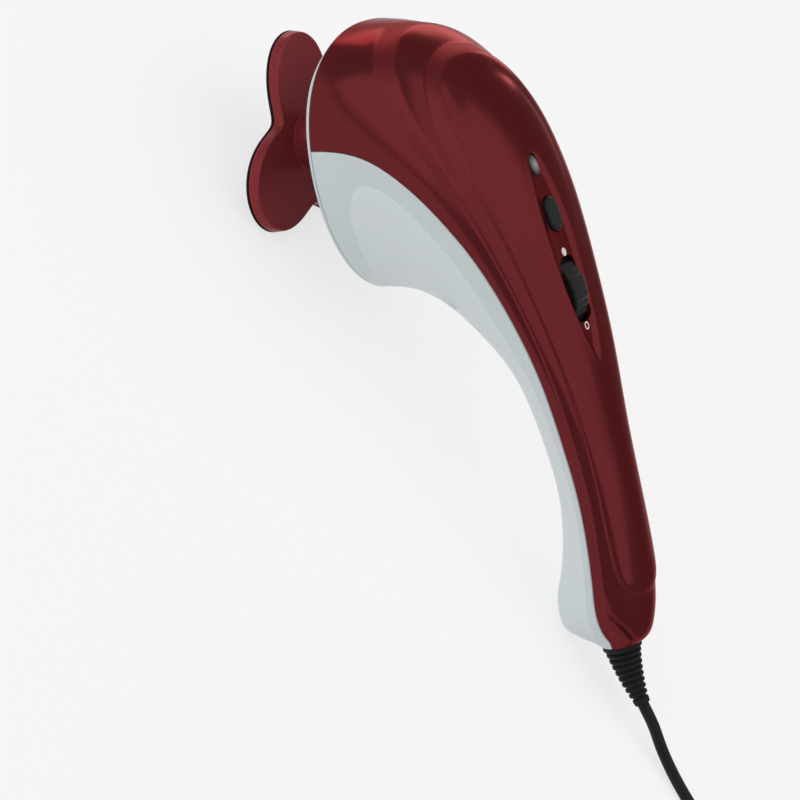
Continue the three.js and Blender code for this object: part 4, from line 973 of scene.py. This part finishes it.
FINISH_MAKERS = {
    "lacquer": lambda: lacquer("maroon lacquer", 0.76),
    # The plate's finish is the shell's maroon made 1.6 times lighter and less metallic: the lighter base colour
    # is painted light on the plate's face.
    "plate lacquer painted lighter": lambda: lacquer("plate lacquer painted lighter", 0.35, 1.6),
    "silver": silver,
    "black plastic": lambda: moulded("black plastic", tuple(colours().black), 0.34, 1600, 0.00003, 0.05),
    "black rubber": lambda: moulded("black rubber", tuple(colours().rubber), 0.5, 1100, 0.00005),
    "vinyl": lambda: moulded("vinyl", tuple(colours().vinyl), 0.4, 900, 0.00003),
    "nylon": lambda: moulded("nylon", tuple(colours().nylon), 0.5, 800, 0.00003),
    "steel": lambda: metal("steel", (0.5, 0.52, 0.54), 0.25, (1, 1, 6)),
    "bronze": lambda: metal("bronze", (0.45, 0.28, 0.12), 0.35, (2, 2, 2)),
    "brass": lambda: metal("brass", (0.75, 0.55, 0.22), 0.22, (5, 1, 1)),
    "board": circuit_board,
    "lens": lens_finish,
    "print": print_finish,
    "floor": floor_finish,
}
MADE_FINISHES = {}


def finish_of(name):
    if name not in MADE_FINISHES:
        MADE_FINISHES[name] = FINISH_MAKERS[name]()
    return MADE_FINISHES[name]


# Operators


class MASSAGER_OT_stage(bpy.types.Operator):
    """Camera, soft lights and pale floor"""

    bl_idname = "massager.stage"
    bl_label = "Studio"

    def execute(self, context):
        scene = context.scene
        scene.view_settings.view_transform = "Standard"
        azimuth, elevation, roll = (math.radians(turn) for turn in CAMERA_TURN)
        ahead = math.cos(elevation)
        back = Vector((math.sin(azimuth) * ahead, -math.cos(azimuth) * ahead, math.sin(elevation)))
        level = Vector((math.cos(azimuth), math.sin(azimuth), 0))
        right = level * math.cos(roll) + back.cross(level) * math.sin(roll)
        up = back.cross(right)
        camera = bpy.data.cameras.new("camera")
        camera.lens = CAMERA_LENS
        camera.sensor_width = CAMERA_SENSOR
        camera.clip_start, camera.clip_end = CAMERA_REACH
        eye = bpy.data.objects.new("camera", camera)
        eye.matrix_world = matrix(right, up, back, CAMERA_TARGET + back)
        scene.collection.objects.link(eye)
        scene.camera = eye

        for name, place, aim, size, power, tint in LAMPS:
            lamp = bpy.data.lights.new(name, "AREA")
            lamp.shape = "RECTANGLE"
            lamp.size, lamp.size_y = size
            lamp.energy = power
            lamp.color = tint
            light = bpy.data.objects.new(name, lamp)
            way = (Vector(place) - Vector(aim)).to_track_quat("Z", "Y").to_matrix().to_4x4()
            way.translation = Vector(place)
            light.matrix_world = way
            scene.collection.objects.link(light)

        world = bpy.data.worlds.new("studio")
        world.use_nodes = True
        background = world.node_tree.nodes["Background"]
        background.inputs["Color"].default_value = (1, 1, 1, 1)
        background.inputs["Strength"].default_value = WORLD_STRENGTH
        scene.world = world

        made = bmesh.new()
        bmesh.ops.create_grid(made, x_segments=8, y_segments=8, size=FLOOR_HALF)
        floor = new_object("floor", made)
        floor.data.materials.append(finish_of("floor"))
        return {"FINISHED"}


def relief_place(distance):
    """Along the bend relief's axis in the tail's frame: forward, lift towards the belly side, heading."""
    if distance < 0:
        return distance, 0.0, 0.0
    heading = RELIEF_TURN * distance / RELIEF_LENGTH
    bend = RELIEF_LENGTH / RELIEF_TURN
    return bend * math.sin(heading), bend * (1 - math.cos(heading)), heading


def cord_route():
    """Points of the lead: out of the relief, down to the floor, and through the coil's two layers."""
    forward, lift, heading = relief_place(RELIEF_LENGTH)
    tip = TAIL @ Vector((-lift, 0, GAP + forward))
    way = (TAIL.to_3x3() @ Vector((-math.sin(heading), 0, math.cos(heading)))).normalized()
    start = tip + way * GAP
    centre = Vector((tip.x + COIL_PLACE[0], COIL_PLACE[1], CORD_RADIUS))
    outer = COIL_INNER + COIL_PITCH * COIL_TURNS[0]
    entry = Vector((centre.x, centre.y + outer, CORD_RADIUS))
    laid = [(tip.x + x * MM, 0, z * MM) for x, z in FREE_STRETCH]
    free = spline([start, start + way * CORD_RUN, *laid, entry - Vector((2 * CORD_RADIUS, 0, 0))],
                  np.linspace(0, 1, 40))
    steps = 48
    first, last = -COIL_TURNS[0] * 2 * math.pi, COIL_TURNS[1] * 2 * math.pi
    turns = np.linspace(first, last, int((COIL_TURNS[0] + COIL_TURNS[1]) * steps) + 1)
    radius = COIL_INNER + COIL_PITCH * np.abs(turns) / (2 * math.pi)
    level = smooth((turns + math.pi / 2) / math.pi)
    angle = math.pi / 2 - (turns - first)
    x, y = centre.x + radius * np.cos(angle), centre.y + radius * np.sin(angle)
    coil = np.stack([x, y, CORD_RADIUS + level * COIL_PITCH], axis=1)
    leave = coil[-1] - (COIL_TAIL, 0, 0)
    tail = np.stack([coil[-1] + (leave - coil[-1]) * part for part in (0.25, 0.5, 0.75, 1)])
    return np.concatenate([free, coil, tail]), tip


def plug_piece(end):
    """Moulded plug: ribbed neck, then a flat body with rounded edges and a grip hollow on both sides."""
    length = PLUG_TAIL + PLUG_LENGTH
    rows = []
    for height in np.concatenate([[0], np.linspace(0.2 * MM, length - 0.3 * MM, 70), [length]]):
        start, end_radius = PLUG_NECK
        neck = start + 1.7 * MM * (height / PLUG_TAIL) ** 2 if height < PLUG_TAIL else end_radius
        rib = 0
        if height < PLUG_TAIL * 0.85:
            rib = PLUG_RIB * (0.5 + 0.5 * math.cos(height / PLUG_RIB_PITCH * 2 * math.pi))
        grow = float(smooth((height - PLUG_TAIL) / PLUG_SWELL))
        end_round = max(0.0, height - (length - PLUG_END_ROUND)) / PLUG_END_ROUND
        inset = PLUG_END_INSET * (1 - math.sqrt(max(0.0, 1 - end_round**2)))
        thick, wide = ((neck - rib) + (half - neck) * grow - inset for half in PLUG_HALF_SIZE)
        hollow = PLUG_HOLLOW * math.exp(-((height - length * 0.72) / PLUG_HOLLOW_REACH) ** 2)
        turn = np.linspace(0, 2 * math.pi, 48, endpoint=False)
        power = 1 - 0.4 * grow
        bulge = lambda value: np.sign(value) * np.abs(value) ** power
        rows.append(np.stack([
            (thick - hollow * np.abs(np.cos(turn)) ** 3) * bulge(np.cos(turn)), wide * bulge(np.sin(turn)),
            np.full(48, height)], axis=1))
    made = surface(np.stack(rows), cyclic_columns=True, fill_ends=True)
    origin = Vector((end[0] - GAP, end[1], end[2]))
    place = matrix(Vector((0, 0, 1)), Vector((0, 1, 0)), Vector((-1, 0, 0)), origin)
    return piece("plug", made, "body", ["plug_body"], "vinyl", place=place)


class MASSAGER_OT_lead(bpy.types.Operator):
    """Mains lead with its coil and plug"""

    bl_idname = "massager.lead"
    bl_label = "Lead and plug"

    def execute(self, context):
        route, tip = cord_route()
        curve = bpy.data.curves.new("lead", "CURVE")
        curve.dimensions = "3D"
        curve.bevel_depth = CORD_RADIUS
        curve.bevel_resolution = 5
        curve.use_fill_caps = True
        line = curve.splines.new("POLY")
        line.points.add(len(route) - 1)
        line.points.foreach_set("co", np.column_stack([route, np.ones(len(route))]).ravel())
        line.use_smooth = True
        curve.materials.append(finish_of("vinyl"))
        lead = bpy.data.objects.new("lead", curve)
        context.scene.collection.objects.link(lead)
        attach(lead, "body")
        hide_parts("power_cord", "cord_coil")
        plug = plug_piece(route[-1])
        for i in (1, 2):
            low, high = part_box(f"plug_blade_{i}")
            made = bmesh.new()
            cube = bmesh.ops.create_cube(made, size=1)
            bmesh.ops.scale(made, vec=high - low, verts=cube["verts"])
            bmesh.ops.translate(made, vec=(low + high) / 2, verts=cube["verts"])
            tip_edges = [e for e in made.edges if all(v.co.x < low.x + GAP for v in e.verts)]
            bmesh.ops.bevel(
                made, geom=tip_edges, offset=BLADE_BEVEL, segments=2, profile=0.5, affect="EDGES", material=-1)
            blade = piece(f"blade_{i}", made, "body", [f"plug_blade_{i}"], "brass")
            hole_place = matrix(
                Vector((1, 0, 0)), Vector((0, 0, 1)), Vector((0, -1, 0)),
                Vector((low.x + BLADE_HOLE_PLACE, (low.y + high.y) / 2, (low.z + high.z) / 2)))
            carve(blade, [column(outline_stadium(BLADE_HOLE, BLADE_HOLE), -OVERRUN, OVERRUN, hole_place)])
            dress(blade, "body", sharp=35.0)
        steps = np.linalg.norm(np.diff(route, axis=0), axis=1)
        print("lead length", round(float(steps.sum()), 4))
        return {"FINISHED"}


class MASSAGER_OT_relief(bpy.types.Operator):
    """Ribbed rubber bend relief at the tail"""

    bl_idname = "massager.relief"
    bl_label = "Bend relief"

    def execute(self, context):
        ribs = sizes().relief_ribs
        pitch = (RELIEF_LENGTH - RELIEF_COLLAR) / ribs
        far, near = RELIEF_FLANGE_ENDS
        profile = [
            (far, RELIEF_FLANGE), (near, RELIEF_FLANGE), (near, RELIEF_NECK), (0, RELIEF_NECK),
            (0, RELIEF_COLLAR_RADIUS - 0.3 * MM), (0.3 * MM, RELIEF_COLLAR_RADIUS),
            (RELIEF_COLLAR - 0.62 * pitch, RELIEF_COLLAR_RADIUS),
            (RELIEF_COLLAR - 0.5 * pitch, RELIEF_COLLAR_RADIUS - 0.3 * MM),
        ]
        for i in range(ribs):
            crest = RELIEF_CREST + (RELIEF_TIP - RELIEF_CREST) * i / (ribs - 1)
            groove = crest - RELIEF_GROOVE * (1 - i / (2 * ribs))
            profile += [(RELIEF_COLLAR + i * pitch + share * pitch, radius) for share, radius in (
                (-0.4, groove), (-0.06, groove), (0.02, crest - 0.25 * MM), (0.12, crest), (0.42, crest),
                (0.54, crest - 0.3 * MM))]
        profile[-1] = (RELIEF_LENGTH, RELIEF_TIP - 0.3 * MM)
        turn = np.linspace(0, 2 * math.pi, 56, endpoint=False)
        rows = []
        for distance, radius in profile:
            forward, lift, heading = relief_place(distance)
            out = radius * np.cos(turn)
            rows.append(np.stack([
                -lift - out * math.cos(heading), radius * np.sin(turn),
                GAP + forward - out * math.sin(heading)], axis=1))
        made = surface(np.stack(rows), cyclic_columns=True, fill_ends=True)
        piece("bend_relief", made, "body", ["strain_relief"], "black rubber",
              sharp=50.0, place=TAIL)
        return {"FINISHED"}


class MASSAGER_OT_shells(bpy.types.Operator):
    """Maroon top shell with its ridges and recess, and silver bottom shell with its grip pad"""

    bl_idname = "massager.shells"
    bl_label = "Shells"

    def execute(self, context):
        made = surface(shell_points(True), cyclic_columns=True, fill_ends=True)
        top = piece("maroon_shell", made, "body", ["top_shell"], "lacquer")
        carve(top, [
            column(outline_stadium(*LENS_OPENING), -OPENING_DEPTH, OVERRUN, spine(LENS_SHARE)),
            column(outline_stadium(*KEY_OPENING), -OPENING_DEPTH, OVERRUN, spine(BUTTON_SHARE)),
            column(outline_slot(*WHEEL_OPENING), -WHEEL_OPENING_DEPTH, OVERRUN, spine(WHEEL_SHARE)),
        ])
        dress(top, "body", sharp=SHELL_CREASE)
        self.mark_bands(top)

        made = surface(shell_points(False), cyclic_columns=True, fill_ends=True)
        bottom = piece("silver_shell", made, "body", ["bottom_shell"], "silver")
        carve(bottom, [self.well(place, across) for place, across in SCREW_PLACES])
        dress(bottom, "body", sharp=SHELL_CREASE)
        self.mark_grip(bottom)
        for i, (place, across) in enumerate(SCREW_PLACES):
            self.pillar(i, place, across)
        return {"FINISHED"}

    def spot(self, place_share, across_share):
        """A screw's frame on the seam's plane, and how far below it the belly lies."""
        place = section(place_share)
        across = across_share * place.half[0]
        belly = -place.keel[0] * (1 - abs(across_share) ** KEEL_POWER) ** (1 / KEEL_POWER)
        up = Vector(place.up[0])
        origin = Vector(place.base[0]) + Vector((0, across, 0))
        return matrix(Vector((up.z, 0, -up.x)), Vector((0, 1, 0)), up, origin), belly

    def well(self, place_share, across_share):
        place, belly = self.spot(place_share, across_share)
        ring = outline_stadium(2 * WELL_RADIUS, 2 * WELL_RADIUS)
        return column(ring, belly - OVERRUN, belly + SCREW_WELL, place)

    def pillar(self, index, place_share, across_share):
        place, belly = self.spot(place_share, across_share)
        start, seat = belly + PILLAR_START, belly + SCREW_WELL
        top = min(-GAP, seat + PILLAR_RISE)
        profile = [
            (WELL_RADIUS, start), (PILLAR_RADIUS, start), (PILLAR_RADIUS, top), (PILLAR_BORE, top),
            (PILLAR_BORE, seat), (WELL_RADIUS, seat),
        ]
        piece(f"screw_pillar_{index + 1}", spun(profile, 40), "body", (), "silver",
              place=place)

    def mark_bands(self, top):
        """Stores how far each vertex is inside either band, negative outside."""
        edges = band_distances(spots_of(top))
        outer, inner = (np.minimum(edges[i], -edges[i + 1]) for i in (0, 2))
        with_number(top, "band", np.maximum(outer, inner)[:, 0])

    def mark_grip(self, bottom):
        """Stores how far each vertex is inside the grip pad's edge, negative outside."""
        spots = spots_of(bottom)
        inside = Line(GRIP_EDGE).inside(spots)[:, 0]
        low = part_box("bottom_shell")[0]
        belly = np.argmin(np.abs(spots[:, 0] - (0, 0, low.z + 0.05)).sum(axis=1))
        with_number(bottom, "grip", inside if inside[belly] > 0 else -inside)


def rim_angles():
    return np.linspace(0, 2 * math.pi, 180, endpoint=False)


def ring_share():
    """How proud the trim ring stands, as a share of its full height: it sinks towards the crown."""
    from_crown = np.abs((np.degrees(rim_angles()) - 90 + 180) % 360 - 180) + 90
    rise = smooth((from_crown - RING_RAMP[0]) / (RING_RAMP[1] - RING_RAMP[0]))
    return (RING_CROWN_PROUD + (RING_PROUD - RING_CROWN_PROUD) * rise) / RING_PROUD


def rim_points(inset, height):
    """The rim's outline, drawn in by an inset and moved out along the face's own axis."""
    ring = hull(RIM, rim_angles()[None, :], inset=inset)[0]
    return ring + np.array(FACE_OUT) * np.atleast_1d(height)[:, None]


class MASSAGER_OT_face(bpy.types.Operator):
    """Trim ring, domed cover and rubber seal of the head's face"""

    bl_idname = "massager.face"
    bl_label = "Head face"

    def execute(self, context):
        lip_outer = WALL + GAP
        lip_inner = lip_outer + LIP_WALL
        profile = rounded(
            [
                (0, GAP), (0, RING_PROUD), (lip_inner, RING_PROUD), (lip_inner + LIP_TAPER, GAP - LIP_DEPTH),
                (lip_outer + LIP_TAPER, GAP - LIP_DEPTH), (lip_outer, GAP),
            ],
            [0.3 * MM, 1.3 * MM, 0.4 * MM, 0.3 * MM, 0.3 * MM, 0],
            7,
        )
        rows = np.stack([rim_points(inset, height * ring_share() if height > GAP else height)
                         for inset, height in profile])
        made = surface(rows, cyclic_columns=True, cyclic_rows=True)
        ring = piece("trim_ring", made, "body", ["face_ring"], "silver")
        with_number(ring, "grip", np.full(len(ring.data.vertices), -GAP))

        skirt = WALL + LIP_WALL + LIP_TAPER + 2 * GAP
        hole = SEAL_RADIUS + GAP
        centre = np.array(HEAD.translation)

        def ring_at(share, inset, height):
            flat = rim_points(inset, 0)
            away = flat - centre
            circle = centre + away / np.linalg.norm(away, axis=1)[:, None] * hole
            return flat + (circle - flat) * share + np.array(FACE_OUT) * height

        shares = np.linspace(0, 1, COVER_STEPS)
        dome = COVER_EDGE + COVER_RISE * np.sin(shares * math.pi / 2)
        outside = [ring_at(s, skirt, h) for s, h in zip(shares, dome)]
        inside = [ring_at(s, skirt + COVER_WALL, h - COVER_WALL) for s, h in zip(shares, dome)][::-1]
        foot = GAP - LIP_DEPTH
        rows = [ring_at(0, skirt, foot), *outside, *inside, ring_at(0, skirt + COVER_WALL, foot)]
        made = surface(np.stack(rows), cyclic_columns=True, cyclic_rows=True)
        cover = piece("domed_cover", made, "body", ["face_cover"], "silver")
        with_number(cover, "grip", np.full(len(cover.data.vertices), -GAP))

        top = COVER_EDGE + COVER_RISE
        sleeve_inner = SHAFT_RADIUS + GAP
        sleeve_outer = sleeve_inner + SLEEVE_WALL
        rim = top - GAP + SLEEVE_RISE
        share = np.linspace(0, 1, 49)
        radius = SEAL_RADIUS + (sleeve_outer - SEAL_RADIUS) * share
        wave = top - GAP - SEAL_WAVE * (1 + np.cos(share * 2 * SEAL_WAVES * math.pi))
        profile = [
            *zip(radius, wave), (sleeve_outer, rim - SLEEVE_EASE), (sleeve_outer - SLEEVE_EASE, rim),
            (sleeve_inner, rim), (sleeve_inner, top - SEAL_DEPTH), (SEAL_RADIUS, top - SEAL_DEPTH),
        ]
        piece("bellows_seal", spun(profile, 72), "body", ["post_seal"], "black rubber",
              place=HEAD)
        return {"FINISHED"}


def lobe_outline(grow, share=1.0):
    """Outline of the three lobes, as radii about the post."""
    turn = np.linspace(0, 2 * math.pi, OUTLINE_POINTS, endpoint=False)
    swing = LOBE_SWING * np.cos(LOBES * turn) - LOBE_BLUNTNESS * np.cos(2 * LOBES * turn)
    radius = LOBE_MEAN + swing - LOBE_DROP * np.cos(turn) + WEB_FILL * np.cos(2 * turn) + grow
    return radius * share


def ring_of(radius, height):
    turn = np.linspace(0, 2 * math.pi, len(radius), endpoint=False)
    return np.stack([radius * np.cos(turn), radius * np.sin(turn), np.full(len(radius), height)], axis=1)


class MASSAGER_OT_head(bpy.types.Operator):
    """Attachment post, lobed plate with its socket, and rubber massage pad"""

    bl_idname = "massager.head"
    bl_label = "Massage head"

    def execute(self, context):
        bottom, top = POST_ENDS
        groove, (groove_bottom, groove_top) = POST_RADIUS - GROOVE_DEPTH, GROOVE_ENDS
        profile = rounded(
            [
                (POST_BORE, bottom), (POST_RADIUS, bottom), (POST_RADIUS, groove_bottom),
                (groove, groove_bottom), (groove, groove_top), (POST_RADIUS, groove_top),
                (POST_RADIUS, top), (0, top), (0, POST_BORE_END), (POST_BORE, POST_BORE_END),
            ],
            [0, 0.6 * MM, 0.3 * MM, 0.2 * MM, 0.2 * MM, 0.3 * MM, 1 * MM, 0, 0, 0],
        )
        post = piece("round_post", spun(profile), "plunger", ["attachment_post"],
                     "black plastic", place=HEAD)
        carve(post, [
            column(outline_stadium(PIN_BORE, PIN_BORE), PIN_BOTTOM, top + 5 * MM,
                   HEAD @ Matrix.Translation((0, side * PIN_PLACE, 0))) for side in (-1, 1)])
        dress(post, "plunger")

        plate_edge = [
            (-1.0 * MM, PLATE_HEIGHT), (-0.5 * MM, PLATE_HEIGHT + 0.12 * MM),
            (-0.12 * MM, PLATE_HEIGHT + 0.5 * MM), (0.05 * MM, PLATE_HEIGHT + 1.1 * MM),
            (0.5 * MM, PLATE_TOP - 0.9 * MM), (0.5 * MM, PLATE_TOP - 0.45 * MM),
            (0.3 * MM, PLATE_TOP - 0.1 * MM), (0, PLATE_TOP),
        ]
        flat = np.ones(OUTLINE_POINTS)
        outer = SOCKET_RADIUS + SOCKET_WALL
        rows = [ring_of(radius * flat, height) for radius, height in (
            (0, SOCKET_TOP), (SOCKET_RADIUS, SOCKET_TOP), (SOCKET_RADIUS, SOCKET_BOTTOM + 0.6 * MM),
            (SOCKET_RADIUS + 0.5 * MM, SOCKET_BOTTOM), (outer - 0.5 * MM, SOCKET_BOTTOM),
            (outer, SOCKET_BOTTOM + 0.6 * MM))]
        fillet = SOCKET_FILLET
        for turn in np.linspace(0, math.pi / 2, 7):
            rows.append(ring_of(
                (outer + fillet * (1 - math.cos(turn))) * flat, PLATE_HEIGHT - fillet * (1 - math.sin(turn))))
        for part in (0.25, 0.5, 0.75, 0.95):
            rows.append(ring_of((outer + fillet) * (1 - part) + lobe_outline(-1.4 * MM) * part, PLATE_HEIGHT))
        rows += [ring_of(lobe_outline(grow), height) for grow, height in plate_edge]
        rows += [ring_of(lobe_outline(0, part), PLATE_TOP) for part in (0.8, 0.5, 0.0)]
        made = surface(np.stack(rows), cyclic_columns=True)
        piece("lobed_plate", made, "massage_head", ["head_plate"], "plate lacquer painted lighter",
              place=HEAD)

        foot = PLATE_TOP + GAP
        rows = [ring_of(lobe_outline(0, part), foot) for part in (0.0, 0.5, 0.9)]
        rows += [ring_of(lobe_outline(grow), foot + rise) for grow, rise in (
            (0, 0), (0.5 * MM, 0.1 * MM), (PAD_OVERHANG, 0.35 * MM), (PAD_OVERHANG, PAD_RIM - 0.2 * MM))]
        for part in np.cos(np.linspace(0.08, math.pi / 2, PAD_STEPS)):
            dome = PAD_RIM + PAD_DOME * max(0.0, 1 - part**2) ** PAD_BLUNTNESS
            groove = SEWN_DEPTH * math.exp(-((part - SEWN_PLACE) / SEWN_WIDTH) ** 2)
            rows.append(ring_of(lobe_outline(PAD_OVERHANG, part), foot + dome - groove))
        made = surface(np.stack(rows), cyclic_columns=True)
        pad = piece("lobed_pad", made, "massage_head", ["head_pad"], "black rubber",
                    place=HEAD)
        return {"FINISHED"}


class MASSAGER_OT_controls(bpy.types.Operator):
    """Lens, heat button, speed wheel and the two printed marks"""

    bl_idname = "massager.controls"
    bl_label = "Controls"

    def execute(self, context):
        floor = -sizes().recess_depth + 0.1 * MM
        dome = [(LENS_LENGTH * math.cos(turn), floor + LENS_RISE * math.sin(turn))
                for turn in np.linspace(0, math.pi / 2, 12)]
        rows = [(0.0, LENS_FOOT), (LENS_LENGTH, LENS_FOOT), *dome]
        slim = LENS_WIDTH / LENS_LENGTH
        made = surface(np.stack([self.oval(length, slim, z) for length, z in rows]), cyclic_columns=True)
        piece("lens", made, "body", ["led_lens"], "lens", place=spine(LENS_SHARE))
        self.button()
        self.wheel()
        self.mark("near_mark", NEAR_MARK_SHARE, 0.0)
        self.mark("far_mark", FAR_MARK_SHARE, RING_MARK_BORE)
        return {"FINISHED"}

    def oval(self, length, slimness, height):
        return outline_stadium(max(length, 1e-6), max(length, 1e-6) * slimness) + (0, 0, height)

    def button(self):
        """The key with its domed top, flange and stem."""
        bottom, top = KEY_FLANGE_ENDS
        length, width = KEY_FLANGE
        rows = [outline_stadium(length * part, width * part) + (0, 0, bottom) for part in (1e-3, 1.0)]
        rows.append(outline_stadium(length, width) + (0, 0, top))
        for inset, height in (
            (0, top), (0, KEY_PROUD - 1.3 * MM), (0.15 * MM, KEY_PROUD - 0.8 * MM),
            (0.5 * MM, KEY_PROUD - 0.4 * MM), (1.1 * MM, KEY_PROUD - 0.12 * MM), (2.0 * MM, KEY_PROUD),
            (3.4 * MM, KEY_PROUD + 0.02 * MM), (5.4 * MM, KEY_PROUD - 0.05 * MM),
        ):
            rows.append(outline_stadium(KEY_LENGTH - 2 * inset, KEY_WIDTH - 2 * inset) + (0, 0, height))
        made = surface(np.stack(rows), cyclic_columns=True, fill_ends=True)
        bmesh.ops.create_cone(
            made, cap_ends=True, segments=32, radius1=KEY_STEM_RADIUS, radius2=KEY_STEM_RADIUS,
            depth=bottom - KEY_STEM_END, matrix=Matrix.Translation((0, 0, (bottom + KEY_STEM_END) / 2)))
        piece("heat_key", made, "button", ["heat_button"], "black plastic",
              place=spine(BUTTON_SHARE))

    def wheel(self):
        """Thumb wheel with rounded teeth and eased rims."""
        teeth = sizes().wheel_teeth
        turn = np.linspace(0, 2 * math.pi, teeth * TOOTH_POINTS, endpoint=False)
        valley = TOOTH_DEPTH * (1 - np.abs(np.cos(turn * teeth / 2)) ** TOOTH_BLUNTNESS)
        low = -WHEEL_THICKNESS / 2
        near = [ring_of(np.full(len(turn), radius), low) for radius in (WHEEL_BORE, WHEEL_RADIUS - WHEEL_WEB)]
        near += [ring_of(WHEEL_RADIUS - inset - valley, low + rise) for inset, rise in (
            (1.1 * MM, 0), (0.5 * MM, 0.15 * MM), (0.12 * MM, 0.5 * MM), (0, 1.1 * MM))]
        far = [row * (1, 1, -1) for row in near[::-1]]
        rows = [*near, ring_of(WHEEL_RADIUS - valley, 0), *far]
        made = surface(np.stack(rows), cyclic_columns=True, cyclic_rows=True)
        sunk = spine(WHEEL_SHARE) @ Matrix.Translation((0, 0, -WHEEL_DEPTH))
        piece("thumb_wheel", made, "wheel", ["speed_wheel"], "black plastic",
              sharp=60.0, place=sunk @ Matrix.Rotation(-math.pi / 2, 4, "X"))

    def mark(self, name, place_share, bore):
        """A flat printed dot or ring on the recess's floor."""
        low, high = (level - sizes().recess_depth for level in (-MARK_SUNK, MARK_PROUD))
        made = spun([(bore, low), (MARK_RADIUS, low), (MARK_RADIUS, high), (bore, high)], 48)
        piece(name, made, "body", (), "print", place=spine(place_share))


class MASSAGER_OT_works(bpy.types.Operator):
    """Finishes of the drive, fasteners and electrics inside the body"""

    bl_idname = "massager.works"
    bl_label = "Inner works"

    def execute(self, context):
        for finish, names in FINISH_OF_NODE.items():
            for name in names:
                node = NODES[name]
                if node.material_slots:
                    for slot in node.material_slots:
                        slot.material = finish_of(finish)
                else:
                    node.data.materials.append(finish_of(finish))
        return {"FINISHED"}


STEPS = (
    MASSAGER_OT_stage,
    MASSAGER_OT_lead,
    MASSAGER_OT_relief,
    MASSAGER_OT_shells,
    MASSAGER_OT_face,
    MASSAGER_OT_head,
    MASSAGER_OT_controls,
    MASSAGER_OT_works,
)


class MASSAGER_PT_panel(bpy.types.Panel):
    """Builds the massager piece by piece"""

    bl_label = "Massager"
    bl_idname = "MASSAGER_PT_panel"
    bl_space_type = "VIEW_3D"
    bl_region_type = "UI"
    bl_category = "Massager"

    def draw(self, context):
        layout = self.layout
        for step in STEPS:
            layout.operator(step.bl_idname)
        for name in MassagerSizes.__annotations__:
            layout.prop(context.scene.massager_sizes, name)
        for name in MassagerColours.__annotations__:
            layout.prop(context.scene.massager_colours, name)


CLASSES = (MassagerSizes, MassagerColours, *STEPS, MASSAGER_PT_panel)


def register():
    for each in CLASSES:
        bpy.utils.register_class(each)
    bpy.types.Scene.massager_sizes = bpy.props.PointerProperty(type=MassagerSizes)
    bpy.types.Scene.massager_colours = bpy.props.PointerProperty(type=MassagerColours)


def unregister():
    del bpy.types.Scene.massager_colours
    del bpy.types.Scene.massager_sizes
    for each in reversed(CLASSES):
        bpy.utils.unregister_class(each)


def main():
    register()
    for step in STEPS:
        group, name = step.bl_idname.split(".")
        getattr(getattr(bpy.ops, group), name)()


if __name__ == "__main__":
    main()
